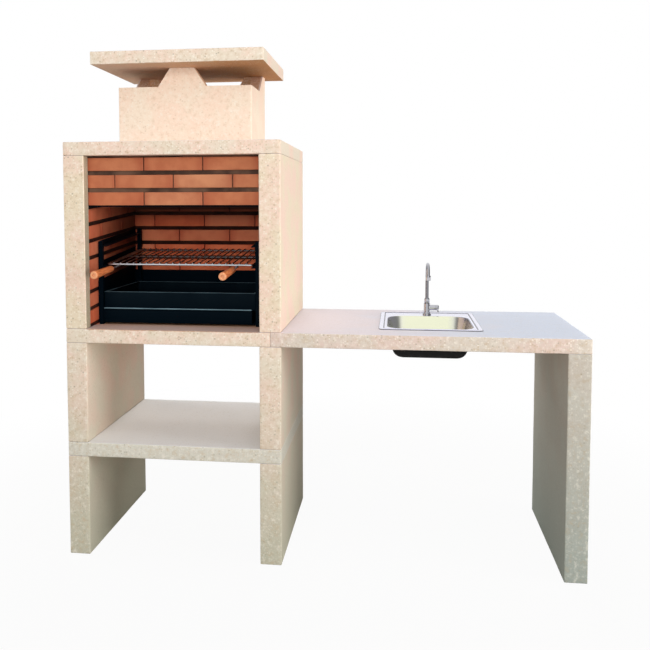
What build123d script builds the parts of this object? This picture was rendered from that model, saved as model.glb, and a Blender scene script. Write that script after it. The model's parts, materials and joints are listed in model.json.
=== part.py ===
from build123d import *
import math
import os

# Garden barbecue with a worktop: cast slabs and legs, a brick-lined firebox, a chimney with a cap,
# a drop-in steel fire set with a wire grill, and a steel sink with a swan-neck tap.
# Millimetres. While a piece is built, X runs from the left leg to the right, Y from the front faces
# to the back, and Z up from the ground. The origin then moves under the middle of the whole.

# Slabs and legs
total_width = 1862.0
hearth_width = 800.0
depth = 650.0
leg_thickness = 78.0
leg_height = 372.0
slab_thickness = 52.0
arris = 4.0

# Firebox
firebox_height = 633.0
roof_thickness = 50.0
lip_depth = 40.0
lining_thickness = 30.0
back_wall_thickness = 69.0

# Chimney
shell_inset = 140.0
shell_wall = 45.0
shell_setback = 205.0
shell_back_margin = 145.0
shell_height = 221.0
crown_height = 70.0
tab_base = 187.0
tab_top = 93.0
tab_shift = -9.0
side_post_base = 127.0
side_post_top = 50.0
back_post_base = 117.0
back_post_top = 77.0
cap_thickness = 48.0
cap_side_overhang = 67.0
cap_front_overhang = 115.0
cap_back_overhang = 75.0

# Brickwork
brick_length = 217.0
brick_height = 48.0
lining_bed = 6.0
end_joint = 3.0
bed_joint = 15.0
first_bed = 11.5
joint_recess = 6.0
side_course_rise = 35.0
lintel_brick_depth = 45.0
lintel_courses = 3
lintel_bond_shares = (0.973, 0.473)
back_bond_shares = (0.909, 0.409)
side_bond_shares = (1.0, 0.58)
shortest_brick = 8.0
angle_steel = 5.0
angle_upstand = 45.0

# Fire set: racks, plates, charcoal tray, grate and ash drawer
set_left_gap = 3.0
set_right_gap = 19.0
set_back_gap = 11.0
set_front = 122.0
post_side = 16.0
plate_steel = 2.0
rail_steel = 3.0
rail_width = 32.0
rail_height = 20.0
rail_slope_deg = 5.0
lower_rail_level = 218.0
upper_rail_level = 296.0
side_plate_level = 166.0
back_plate_level = 172.0
plate_foot_gap = 8.0
tray_level = 61.0
tray_rim_level = 125.0
tray_gap = 1.0
tray_setback = 6.0
rim_fold = 9.0
tray_ledge = 20.0
ledge_width = 40.0
grate_steel = 3.0
grate_margin = 2.0
grate_slots = 7
grate_slot_width = 14.0
grate_end_margin = 34.0
runner_level = 8.0
drawer_left_gap = 2.0
drawer_right_gap = 14.0
drawer_back_gap = 8.0
drawer_headroom = 3.0
drawer_lip_radius = 4.0
drawer_lip_level = 60.0

# Wire grill with its two handles
grill_left_gap = 6.0
grill_right_gap = 10.0
grill_front_gap = 12.0
frame_wire = 8.0
cross_wire = 6.0
mesh_wire = 5.0
mesh_wires = 21
weld_sink = 0.5
grill_lift = 0.3
frame_corner = 18.0
stop_gap = 1.0
handle_left_inset = 47.0
handle_right_inset = 65.0
handle_slope_deg = 3.0
tang_wire = 7.0
tang_tail = 18.0
tang_reach = 78.0
tang_grip = 40.0
tang_fit = 0.1
handle_length = 171.0
handle_rear_radius = 12.0
handle_belly_radius = 13.0
handle_belly_share = 0.5
handle_front_radius = 14.5
handle_rear_round = 6.0
handle_front_round = 4.0
handle_dimple_radius = 5.5
handle_dimple_depth = 4.0

# Sink
sink_from_end = 533.0
sink_setback = 115.0
sink_back_margin = 80.0
rim_width = 375.0
rim_corner = 20.0
rim_steel = 1.2
rim_bearing = 11.0
bead_inset = 13.0
bead_width = 5.0
bead_height = 1.4
seal_thickness = 1.0
seal_width = 8.0
cutout_corner = 12.0
bowl_side_margin = 29.5
bowl_front_margin = 22.0
tap_ledge = 107.0
bowl_corner = 64.0
bowl_drop = 115.0
bowl_draft_deg = 14.0
bowl_floor_radius = 32.0
drain_radius = 35.0
waste_flange_lap = 7.0
waste_flange_height = 2.0
waste_cup_wall = 4.7
waste_cup_drop = 7.0
waste_wall = 2.0
waste_tail_radius = 23.9
waste_tail_wall = 3.9
waste_tail_length = 8.0
ring_nut_wall = 11.0
ring_nut_height = 5.0
running_gap = 0.3
strainer_lip_lap = 6.0
strainer_steel = 1.2
strainer_depth = 5.0
strainer_hole_radius = 2.6
strainer_ring_holes = (6, 12)
strainer_ring_shares = (0.4, 0.76)
clip_steel = 3.0
clip_width = 24.0
clip_reach = 20.0
clip_spacing_share = 0.5

# Tap
tap_from_rim_back = 66.0
tap_hole_gap = 0.5
shank_radius = 12.0
shank_length = 34.0
inlet_radius = 10.4
inlet_length = 20.0
mount_nut_radius = 19.0
mount_nut_height = 8.0
tap_foot_radius = 17.0
tap_foot_height = 5.0
tap_body_radius = 13.0
tap_body_height = 43.0
tap_edge_round = 1.5
valve_radius = 11.0
valve_level = 30.0
valve_reach = 36.0
spindle_radius = 4.0
spindle_length = 9.0
lever_hub_length = 12.0
lever_hub_round = 5.0
lever_arm_radius = 3.4
lever_arm_length = 50.0
lever_droop_deg = 10.0
collar_radius = 11.0
collar_height = 20.0
collar_round = 3.0
neck_radius = 7.0
neck_wall = 1.4
neck_engagement = 14.0
neck_ring_radius = 9.0
neck_ring_height = 2.0
neck_rise = 88.0
neck_bend_radius = 55.0
nozzle_radius = 10.5
nozzle_height = 20.0
nozzle_drop = 5.0
nozzle_wall = 2.0
aerator_height = 5.0

overrun = 20.0

# Levels
shelf_base = leg_height
shelf_top = shelf_base + slab_thickness
hearth_base = shelf_top + leg_height
hearth_top = hearth_base + slab_thickness
firebox_top = hearth_top + firebox_height
roof_top = firebox_top + roof_thickness
shell_low = roof_top + shell_height
crown_top = shell_low + crown_height
cap_top = crown_top + cap_thickness

# Places along X and Y
inner_left = leg_thickness
inner_right = hearth_width - leg_thickness
opening_width = inner_right - inner_left
slab_joint = hearth_width - leg_thickness / 2
table_leg_left = total_width - leg_thickness
back_wall_front = depth - back_wall_thickness
lining_face = back_wall_front - lining_thickness
brick_thickness = lining_thickness - lining_bed
brick_pitch = brick_length + end_joint
course_pitch = brick_height + bed_joint
lining_run = lining_face - lip_depth
side_slope_deg = math.degrees(math.atan2(side_course_rise, lining_run))
shell_left = shell_inset
shell_width = hearth_width - 2 * shell_inset
shell_back = depth - shell_back_margin
cap_left = shell_left - cap_side_overhang
cap_width = shell_width + 2 * cap_side_overhang
cap_front = shell_setback - cap_front_overhang
cap_back = shell_back + cap_back_overhang
set_left = inner_left + set_left_gap
set_right = inner_right - set_right_gap
set_middle = (set_left + set_right) / 2
set_back = lining_face - set_back_gap - plate_steel
set_length = set_back - set_front
tray_back = set_back - post_side - tray_gap
grill_left = set_left + post_side + grill_left_gap
grill_right = set_right - post_side - grill_right_gap
grill_middle = (grill_left + grill_right) / 2
grill_back_stop = set_back - post_side - stop_gap
sink_middle = total_width - sink_from_end
sink_back = depth - sink_back_margin
rim_depth = sink_back - sink_setback
rim_base = hearth_top + seal_thickness
rim_top = rim_base + rim_steel
bowl_width = rim_width - 2 * bowl_side_margin
bowl_length = rim_depth - bowl_front_margin - tap_ledge
bowl_middle = sink_setback + bowl_front_margin + bowl_length / 2
bowl_floor = rim_top - bowl_drop
tap_y = sink_back - tap_from_rim_back
tap_base = rim_top
tap_hole_radius = shank_radius + tap_hole_gap
neck_bore_radius = neck_radius - neck_wall
aerator_radius = nozzle_radius - nozzle_wall
waste_outside = drain_radius - running_gap
waste_cup_radius = waste_outside - waste_cup_wall


def block(x0, x1, y0, y1, z0, z1, rounding=0):
    """A box between two corners, with its edges rounded where a rounding is given."""
    low = (Align.MIN, Align.MIN, Align.MIN)
    body = Pos(x0, y0, z0) * Box(x1 - x0, y1 - y0, z1 - z0, align=low)
    if rounding:
        body = fillet(body.edges(), rounding)
    return body


def rod(start, end, radius):
    """A round bar between two points."""
    line = Line(start, end)
    return sweep(Plane(origin=line @ 0, z_dir=line % 0) * Circle(radius), path=line)


def disc(x, y, z, radius, height):
    """An upright cylinder that stands on z."""
    low = (Align.CENTER, Align.CENTER, Align.MIN)
    return Pos(x, y, z) * Cylinder(radius, height, align=low)


def mirrored(shape, x):
    """The same piece on the other side of the plane at x."""
    return shape.mirror(Plane(origin=(x, 0, 0), z_dir=(1, 0, 0)))


def slab_profile_yz(points, x0, x1):
    """A plate of the outline given in Y and Z, between two places on X."""
    outline = [Vector(x0, y, z) for y, z in points]
    face = make_face(Polyline(*outline, close=True))
    return extrude(face, amount=x1 - x0, dir=(1, 0, 0))


def slab_profile_xz(points, y0, y1):
    """A plate of the outline given in X and Z, between two places on Y."""
    outline = [Vector(x, y0, z) for x, z in points]
    face = make_face(Polyline(*outline, close=True))
    return extrude(face, amount=y1 - y0, dir=(0, 1, 0))


# Slabs and legs

def leg(x0, z0, z1):
    return block(x0, x0 + leg_thickness, 0, depth, z0, z1, arris)


def shelf_slab():
    return block(0, hearth_width, 0, depth, shelf_base, shelf_top, arris)


def hearth_slab():
    return block(0, slab_joint, 0, depth, hearth_base, hearth_top, arris)


def worktop_slab():
    body = block(slab_joint, total_width, 0, depth, hearth_base, hearth_top, arris)
    hole = RectangleRounded(rim_width - 2 * rim_bearing, rim_depth - 2 * rim_bearing, cutout_corner)
    middle = sink_setback + rim_depth / 2
    cutter = Pos(sink_middle, middle, hearth_base - overrun) * extrude(hole, slab_thickness + 2 * overrun)
    return body - cutter


# Firebox

def side_wall():
    """The left wall: a full-thickness lip in front, and a recess behind it for the lining."""
    body = block(0, leg_thickness, 0, depth, hearth_top, firebox_top, arris)
    recess = block(leg_thickness - lining_thickness, leg_thickness + overrun, lip_depth, back_wall_front,
                   hearth_top - overrun, firebox_top + overrun)
    return body - recess


def back_wall():
    return block(inner_left, inner_right, back_wall_front, depth, hearth_top, firebox_top, arris)


def flue_cutter(z0, z1):
    """The room inside the chimney shell."""
    return block(shell_left + shell_wall, shell_left + shell_width - shell_wall,
                 shell_setback + shell_wall, shell_back - shell_wall, z0, z1)


def roof_slab():
    body = block(0, hearth_width, 0, depth, firebox_top, roof_top, arris)
    return body - flue_cutter(firebox_top - overrun, roof_top + overrun)


# Chimney

def crown_front():
    """The tab in the middle of the front wall, narrower at its top."""
    middle = hearth_width / 2 + tab_shift
    points = [(middle - tab_base / 2, shell_low), (middle + tab_base / 2, shell_low),
              (middle + tab_top / 2, crown_top), (middle - tab_top / 2, crown_top)]
    return slab_profile_xz(points, shell_setback, shell_setback + shell_wall)


def crown_corner():
    """The left back corner post: a stretch of side wall and one of back wall, both sloped down."""
    side = [(shell_back - side_post_base, shell_low), (shell_back, shell_low),
            (shell_back, crown_top), (shell_back - side_post_top, crown_top)]
    back = [(shell_left, shell_low), (shell_left + back_post_base, shell_low),
            (shell_left + back_post_top, crown_top), (shell_left, crown_top)]
    return (slab_profile_yz(side, shell_left, shell_left + shell_wall)
            + slab_profile_xz(back, shell_back - shell_wall, shell_back))


def chimney_shell():
    body = block(shell_left, shell_left + shell_width, shell_setback, shell_back, roof_top, shell_low)
    upright = body.edges().filter_by(Axis.Z)
    body = fillet(upright, arris) - flue_cutter(roof_top - overrun, shell_low + overrun)
    corner = crown_corner()
    return body + crown_front() + corner + mirrored(corner, hearth_width / 2)


def chimney_cap():
    return block(cap_left, cap_left + cap_width, cap_front, cap_back, crown_top, cap_top, arris)


# Brickwork

def course_starts(run, first_share):
    """Where each brick of a course starts and ends along the run, the first and last cut to fit."""
    spans = []
    joint = first_share * brick_pitch
    start = 0
    while start < run:
        end = min(joint - end_joint, run)
        if end > start:
            spans.append((start, end))
        start = max(joint, end_joint)
        joint = joint + brick_pitch
    return spans


def course_count():
    return math.ceil(firebox_height / course_pitch) + 1


def kept(bricks, region):
    """The bricks cut to the region, without slivers too small to lay."""
    smallest = shortest_brick * brick_height * brick_thickness
    whole = []
    for brick in bricks:
        cut = brick & region
        whole += [solid for solid in cut.solids() if solid.volume > smallest]
    return whole


def lining_region(face_gap):
    """The recess of the left wall, up to a plane that lies face_gap behind the brick faces."""
    return block(leg_thickness - lining_thickness, leg_thickness - face_gap, lip_depth, back_wall_front,
                 hearth_top, firebox_top)


def lintel_angle():
    """The steel angle that carries the lintel, with its ends built into both side linings."""
    x0 = inner_left - lining_thickness
    x1 = inner_right + lining_thickness
    y0 = lip_depth + joint_recess
    y1 = lip_depth + lintel_brick_depth + joint_recess + angle_steel
    z1 = lintel_base()
    foot = block(x0, x1, y0, y1, z1 - angle_steel, z1)
    upstand = block(x0, x1, y1 - angle_steel, y1, z1, z1 + angle_upstand)
    return foot + upstand


def lintel_base():
    """The underside of the lowest lintel course."""
    whole_courses = math.floor((firebox_height - first_bed) / course_pitch)
    return hearth_top + first_bed + (whole_courses + 1 - lintel_courses) * course_pitch


def side_bricks():
    """The left lining: courses that climb to the back, in half bond."""
    x0 = leg_thickness - brick_thickness
    bricks = []
    for course in range(-1, course_count()):
        base = hearth_top + first_bed + course * course_pitch
        tilt = Pos(0, lip_depth, base) * Rot(side_slope_deg, 0, 0)
        run = back_wall_front - lip_depth + course_pitch
        for start, end in course_starts(run, side_bond_shares[course % 2]):
            bricks.append(tilt * block(x0, leg_thickness, start, end, 0, brick_height))
    seat = lintel_angle()
    return [piece for brick in kept(bricks, lining_region(0)) for piece in (brick - seat).solids()]


def side_mortar(bricks):
    bed = lining_region(joint_recess) - lintel_angle()
    return bed - bricks


def back_bricks():
    bricks = []
    y0 = lining_face
    for course in range(-1, course_count()):
        base = hearth_top + first_bed + side_course_rise + course * course_pitch
        for start, end in course_starts(opening_width, back_bond_shares[course % 2]):
            x0 = inner_left + start
            bricks.append(block(x0, inner_left + end, y0, y0 + brick_thickness, base, base + brick_height))
    region = block(inner_left, inner_right, lining_face, back_wall_front, hearth_top, firebox_top)
    return kept(bricks, region)


def back_mortar(bricks):
    bed = block(inner_left, inner_right, lining_face + joint_recess, back_wall_front, hearth_top, firebox_top)
    return bed - bricks


def lintel_bricks():
    bricks = []
    for course in range(lintel_courses):
        base = lintel_base() + course * course_pitch
        for start, end in course_starts(opening_width, lintel_bond_shares[course % 2]):
            bricks.append(block(inner_left + start, inner_left + end, lip_depth,
                                lip_depth + lintel_brick_depth, base, base + brick_height))
    y1 = lip_depth + lintel_brick_depth
    return kept(bricks, block(inner_left, inner_right, lip_depth, y1, hearth_top, firebox_top))


def lintel_mortar(bricks):
    y1 = lip_depth + lintel_brick_depth + joint_recess
    bed = block(inner_left, inner_right, lip_depth + joint_recess, y1, lintel_base(), firebox_top)
    return bed - bricks


# Fire set

def rail_frame(level):
    """The sloped plane on which a rail's flange lies, at the rack's front."""
    return Pos(0, set_front, hearth_top + level + rail_steel) * Rot(rail_slope_deg, 0, 0)


def rail(level):
    """An angle: the flange that carries the grill, and its upstand along the wall."""
    length = set_length / math.cos(math.radians(rail_slope_deg)) + rail_height
    low = -rail_steel
    flange = block(set_left, set_left + rail_width, -rail_height, length, low, 0)
    upstand = block(set_left, set_left + rail_steel, -rail_height, length, low, rail_height + low)
    return rail_frame(level) * (flange + upstand)


def rack_rise():
    return set_length * math.tan(math.radians(rail_slope_deg))


def rack():
    """The left rack: two posts, two sloped rails, a ledge for the tray and a runner for the drawer."""
    head = upper_rail_level + rail_height
    front_post = block(set_left, set_left + post_side, set_front, set_front + post_side,
                       hearth_top, hearth_top + head)
    rear_left = set_left + post_side
    rear_post = block(rear_left, rear_left + post_side, set_back - post_side, set_back,
                      hearth_top, hearth_top + head + rack_rise())
    ledge_front = set_front + post_side
    ledge_top = hearth_top + tray_level
    runner_top = hearth_top + runner_level
    x1 = set_left + ledge_width
    ledge = block(set_left, x1, ledge_front, set_back, ledge_top - rail_steel, ledge_top)
    runner = block(set_left, x1, ledge_front, set_back, runner_top - rail_steel, runner_top)
    body = front_post + rear_post + ledge + runner + rail(lower_rail_level) + rail(upper_rail_level)
    envelope = block(set_left, set_middle, set_front, set_back, hearth_top, roof_top)
    return body & envelope


def side_plate():
    """The left splash plate, whose top edge climbs with the rails."""
    z0 = hearth_top + plate_foot_gap
    z1 = hearth_top + side_plate_level
    points = [(set_front, z0), (set_back, z0), (set_back, z1 + rack_rise()), (set_front, z1)]
    return slab_profile_yz(points, set_left - plate_steel, set_left)


def back_plate():
    return block(set_left - plate_steel, set_right + plate_steel, set_back, set_back + plate_steel,
                 hearth_top + plate_foot_gap, hearth_top + back_plate_level)


def tray_corners():
    """The outer box of the charcoal tray."""
    side = post_side + tray_gap
    return (set_left + side, set_right - side, set_front + tray_setback, tray_back,
            hearth_top + tray_level, hearth_top + tray_rim_level)


def charcoal_tray():
    x0, x1, y0, y1, z0, z1 = tray_corners()
    wall = plate_steel
    body = block(x0, x1, y0, y1, z0, z1)
    body -= block(x0 + wall, x1 - wall, y0 + wall, y1 - wall, z0 + wall, z1 - wall)
    body -= block(x0 + rim_fold, x1 - rim_fold, y0 + rim_fold, y1 - rim_fold, z1 - 2 * wall, z1 + overrun)
    ledge = tray_ledge + wall
    return body - block(x0 + ledge, x1 - ledge, y0 + ledge, y1 - ledge, z0 - overrun, z0 + 2 * wall)


def charcoal_grate():
    """A slotted plate that lies on the tray's bottom ledge."""
    x0, x1, y0, y1, z0, _ = tray_corners()
    edge = plate_steel + grate_margin
    base = z0 + plate_steel
    body = block(x0 + edge, x1 - edge, y0 + edge, y1 - edge, base, base + grate_steel)
    pitch = (x1 - x0 - 2 * grate_end_margin) / grate_slots
    for index in range(grate_slots):
        middle = x0 + grate_end_margin + (index + 1 / 2) * pitch
        body -= block(middle - grate_slot_width / 2, middle + grate_slot_width / 2,
                      y0 + grate_end_margin, y1 - grate_end_margin, base - overrun, base + overrun)
    return body


def ash_drawer():
    """An open box, whose front stands up to a rolled lip before the tray."""
    x0 = set_left + post_side + drawer_left_gap
    x1 = set_right - post_side - drawer_right_gap
    y0 = set_front
    y1 = tray_back - drawer_back_gap
    z0 = hearth_top + runner_level
    z1 = hearth_top + tray_level - rail_steel - drawer_headroom
    wall = plate_steel
    body = block(x0, x1, y0, y1, z0, z1)
    body -= block(x0 + wall, x1 - wall, y0 + wall, y1 - wall, z0 + wall, z1 + overrun)
    lip_z = hearth_top + drawer_lip_level
    front = block(x0, x1, y0, y0 + wall, z0, lip_z)
    lip = rod((x0, y0, lip_z), (x1, y0, lip_z), drawer_lip_radius)
    return body + front + lip


# Grill

def grill_lengths():
    """The grill's first and last frame wire, along the slope from the rack's front."""
    slant = math.cos(math.radians(rail_slope_deg))
    first = (post_side + grill_front_gap) / slant
    last = (grill_back_stop - set_front) / slant - frame_wire / 2
    return first, last


def grill_frame():
    """The grill's own plane: the lower rails' flanges, less the play under the wires."""
    return rail_frame(lower_rail_level) * Pos(0, 0, grill_lift)


def grill_grid():
    """A frame wire with rounded corners, a cross wire, the mesh wires laid on top, and two tangs."""
    first, last = grill_lengths()
    radius = frame_wire / 2
    half = (grill_right - grill_left) / 2 - radius
    middle_y = (first + last) / 2
    outline = Pos(grill_middle, middle_y, radius) * RectangleRounded(2 * half, last - first, frame_corner)
    loop = outline.wire()
    grid = sweep(Plane(origin=loop @ 0, z_dir=loop % 0) * Circle(radius), path=loop)
    cross_z = frame_wire - cross_wire / 2
    cross_start = (grill_middle - half, middle_y, cross_z)
    grid += rod(cross_start, (grill_middle + half, middle_y, cross_z), cross_wire / 2)
    top_z = frame_wire + mesh_wire / 2 - weld_sink
    pitch = 2 * half / (mesh_wires + 1)
    for index in range(1, mesh_wires + 1):
        x = grill_middle - half + index * pitch
        grid += rod((x, first - radius, top_z), (x, last + radius, top_z), mesh_wire / 2)
    for x in handle_places():
        grid += tang_frame(x) * rod((0, tang_tail, 0), (0, -tang_reach - tang_grip, 0), tang_wire / 2)
    return grill_frame() * grid


def handle_places():
    return [grill_left + handle_left_inset, grill_right - handle_right_inset]


def tang_frame(x):
    """The line of a handle: it crosses under the front wire and droops less than the grill does."""
    first, _ = grill_lengths()
    return Pos(x, first, weld_sink - tang_wire / 2) * Rot(handle_slope_deg - rail_slope_deg, 0, 0)


def handle_profile():
    """Half the outline of a grip: rounded rear, slight belly, rounded front."""
    front = handle_length
    rear_edge = handle_rear_radius - handle_rear_round
    front_edge = handle_front_radius - handle_front_round
    belly = (handle_belly_radius, handle_belly_share * handle_length)
    rear_arc = CenterArc((rear_edge, handle_rear_round), handle_rear_round, 270, 90)
    side = Spline(rear_arc @ 1, belly, (handle_front_radius, front - handle_front_round))
    front_arc = CenterArc((front_edge, front - handle_front_round), handle_front_round, 0, 90)
    rear = Line((0, 0), rear_arc @ 0)
    face = Line(front_arc @ 1, (0, front))
    axis = Line((0, front), (0, 0))
    return make_face(rear + rear_arc + side + front_arc + face + axis)


def handle(x):
    """A turned wooden grip, bored for the tang, with a dimple in its front end."""
    body = revolve(handle_profile(), Axis.Y)
    along = Rot(-90, 0, 0)
    body -= along * disc(0, 0, -overrun, tang_wire / 2 + tang_fit, tang_grip + overrun + tang_fit)
    body -= along * disc(0, 0, handle_length - handle_dimple_depth, handle_dimple_radius, overrun)
    return grill_frame() * tang_frame(x) * Pos(0, -tang_reach, 0) * Rot(180, 0, 0) * body


# Sink

def bowl_solid(grow, floor):
    """The bowl's rounded, tapered block, larger all round by grow, from the rim down to floor."""
    mouth = RectangleRounded(bowl_width + 2 * grow, bowl_length + 2 * grow, bowl_corner + grow)
    body = extrude(mouth, amount=rim_top - floor, taper=bowl_draft_deg)
    bottom = body.faces().sort_by(Axis.Z)[-1].edges()
    body = fillet(bottom, bowl_floor_radius + grow)
    return Pos(sink_middle, bowl_middle, rim_top) * Rot(180, 0, 0) * body


def sink_bowl():
    """Rim, bead and bowl, pressed from one sheet."""
    rim_middle = sink_setback + rim_depth / 2
    place = Pos(sink_middle, rim_middle, rim_base)
    rim = place * extrude(RectangleRounded(rim_width, rim_depth, rim_corner), rim_steel)
    outer = RectangleRounded(rim_width - 2 * bead_inset, rim_depth - 2 * bead_inset, rim_corner - bead_width)
    inset = bead_inset + bead_width
    inner = RectangleRounded(rim_width - 2 * inset, rim_depth - 2 * inset, rim_corner - 2 * bead_width)
    bead = place * extrude(outer - inner, rim_steel + bead_height)
    body = rim + bead + bowl_solid(rim_steel, bowl_floor - rim_steel)
    body -= bowl_solid(0, bowl_floor)
    body -= block(sink_middle - bowl_width, sink_middle + bowl_width, sink_setback, bowl_middle,
                  rim_top + bead_height, rim_top + overrun)
    body -= disc(sink_middle, bowl_middle, bowl_floor - overrun, drain_radius, 2 * overrun)
    return body - disc(sink_middle, tap_y, rim_base - overrun, tap_hole_radius, 2 * overrun)


def sink_seal():
    outer = RectangleRounded(rim_width, rim_depth, rim_corner)
    inner = RectangleRounded(rim_width - 2 * seal_width, rim_depth - 2 * seal_width, rim_corner - seal_width)
    middle = sink_setback + rim_depth / 2
    return Pos(sink_middle, middle, hearth_top) * extrude(outer - inner, seal_thickness)


def sink_clips():
    """Four bent clips that hook the rim's underside to the slab's underside."""
    edge = sink_middle - rim_width / 2 + rim_bearing
    z0 = hearth_base - clip_steel
    clips = []
    for side in (-1, 1):
        y = sink_setback + (rim_depth + side * clip_spacing_share * rim_depth - clip_width) / 2
        strap = block(edge, edge + clip_steel, y, y + clip_width, z0, rim_base)
        foot = block(edge - clip_reach, edge + clip_steel, y, y + clip_width, z0, hearth_base)
        clips += [strap + foot, mirrored(strap + foot, sink_middle)]
    return Compound(clips)


def waste_level():
    """The underside of the waste's cup."""
    return bowl_floor - rim_steel - waste_cup_drop


def waste_cup():
    """The ring in the drain, its cup through the bowl's floor, and the threaded tail below."""
    x, y = sink_middle, bowl_middle
    low = waste_level()
    body = disc(x, y, bowl_floor, drain_radius + waste_flange_lap, waste_flange_height)
    body += disc(x, y, low, waste_outside, bowl_floor - low)
    body += disc(x, y, low - waste_tail_length, waste_tail_radius, waste_tail_length)
    body -= disc(x, y, low + waste_wall, waste_cup_radius, bowl_floor - low + overrun)
    bore_low = low - waste_tail_length - overrun
    bore = waste_tail_radius - waste_tail_wall
    return body - disc(x, y, bore_low, bore, waste_tail_length + 2 * overrun)


def waste_nut():
    z0 = bowl_floor - rim_steel - ring_nut_height
    body = disc(sink_middle, bowl_middle, z0, drain_radius + ring_nut_wall, ring_nut_height)
    return body - disc(sink_middle, bowl_middle, z0 - overrun, drain_radius, 2 * overrun)


def sink_strainer():
    """A shallow perforated cup that hangs in the drain by its lip."""
    top = bowl_floor + waste_flange_height
    cup_radius = waste_cup_radius - running_gap
    lip = disc(0, 0, 0, waste_cup_radius + strainer_lip_lap, strainer_steel)
    cup = disc(0, 0, -strainer_depth, cup_radius, strainer_depth)
    hollow = disc(0, 0, strainer_steel - strainer_depth, cup_radius - strainer_steel, overrun)
    body = lip + cup - hollow
    for count, share in zip(strainer_ring_holes, strainer_ring_shares):
        for spot in PolarLocations(share * cup_radius, count):
            body -= spot * disc(0, 0, -overrun, strainer_hole_radius, 2 * overrun)
    return Pos(sink_middle, bowl_middle, top) * body


# Tap

def tap_frame():
    return Pos(sink_middle, tap_y, tap_base)


def tap_body():
    """Foot, upright body with the valve housing on its right, shank and water inlet below."""
    foot = disc(0, 0, 0, tap_foot_radius, tap_foot_height)
    foot = fillet(foot.faces().sort_by(Axis.Z)[-1].edges(), tap_edge_round)
    column = disc(0, 0, 0, tap_body_radius, tap_foot_height + tap_body_height)
    valve = Rot(0, 90, 0) * disc(0, 0, 0, valve_radius, valve_reach)
    spindle = Rot(0, 90, 0) * disc(0, 0, 0, spindle_radius, valve_reach + spindle_length)
    side = Pos(0, 0, valve_level) * (valve + spindle)
    shank = disc(0, 0, -shank_length, shank_radius, shank_length)
    inlet = disc(0, 0, -shank_length - inlet_length, inlet_radius, inlet_length)
    water_way = disc(0, 0, -shank_length - inlet_length - overrun, neck_bore_radius,
                     shank_length + inlet_length + overrun + tap_foot_height)
    return tap_frame() * (foot + column + side + shank + inlet - water_way)


def tap_nut():
    """The nut and its washer face under the sink's ledge."""
    z0 = -rim_steel - mount_nut_height
    nut = extrude(RegularPolygon(mount_nut_radius, 6), mount_nut_height)
    bore = disc(0, 0, z0 - overrun, shank_radius + running_gap, 2 * overrun)
    return tap_frame() * (Pos(0, 0, z0) * nut - bore)


def tap_collar():
    """The rounded nut that holds the neck, bored for it."""
    height = tap_foot_height + tap_body_height
    body = disc(0, 0, height, collar_radius, collar_height)
    body = fillet(body.edges(), collar_round)
    seat = height + collar_height - neck_engagement - running_gap
    return tap_frame() * (body - disc(0, 0, seat, neck_radius + running_gap, overrun))


def tap_neck():
    """The swan neck: an upright tube, a half-circle forward, and the nozzle."""
    base = tap_foot_height + tap_body_height + collar_height
    rise = base + neck_rise
    reach = 2 * neck_bend_radius
    path = (Line((0, 0, base - neck_engagement), (0, 0, rise))
            + ThreePointArc((0, 0, rise), (0, -neck_bend_radius, rise + neck_bend_radius), (0, -reach, rise))
            + Line((0, -reach, rise), (0, -reach, rise - nozzle_drop)))
    start = Plane(origin=(0, 0, base - neck_engagement), z_dir=(0, 0, 1))
    tube = sweep(start * Circle(neck_radius), path=path)
    bore = sweep(start * Circle(neck_bore_radius), path=path)
    ring = disc(0, 0, base, neck_ring_radius, neck_ring_height)
    nozzle = disc(0, -reach, rise - nozzle_drop, nozzle_radius, nozzle_height)
    nozzle = fillet(nozzle.edges(), tap_edge_round)
    seat = disc(0, -reach, rise - nozzle_drop - overrun, aerator_radius, overrun + aerator_height)
    return tap_frame() * (tube + ring + nozzle - bore - seat)


def tap_aerator():
    base = tap_foot_height + tap_body_height + collar_height
    z0 = base + neck_rise - nozzle_drop
    body = disc(0, -2 * neck_bend_radius, z0, aerator_radius, aerator_height)
    return tap_frame() * (body - disc(0, -2 * neck_bend_radius, z0 - overrun, neck_bore_radius, 2 * overrun))


def tap_lever():
    """The hub on the valve's spindle, and its arm towards the user."""
    gap = running_gap
    hub = Rot(0, 90, 0) * disc(0, 0, valve_reach + gap, valve_radius, lever_hub_length)
    far = hub.faces().sort_by(Axis.X)[-1].edges()
    hub = fillet(far, lever_hub_round)
    socket = Rot(0, 90, 0) * disc(0, 0, 0, spindle_radius + gap, valve_reach + spindle_length + gap)
    x = valve_reach + gap + lever_hub_length / 2
    arm = rod((x, 0, 0), (x, -lever_arm_length, 0), lever_arm_radius)
    tip = Pos(x, -lever_arm_length, 0) * Sphere(lever_arm_radius)
    arm = Rot(lever_droop_deg, 0, 0) * (arm + tip)
    return tap_frame() * Pos(0, 0, valve_level) * (hub + arm - socket)


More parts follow.
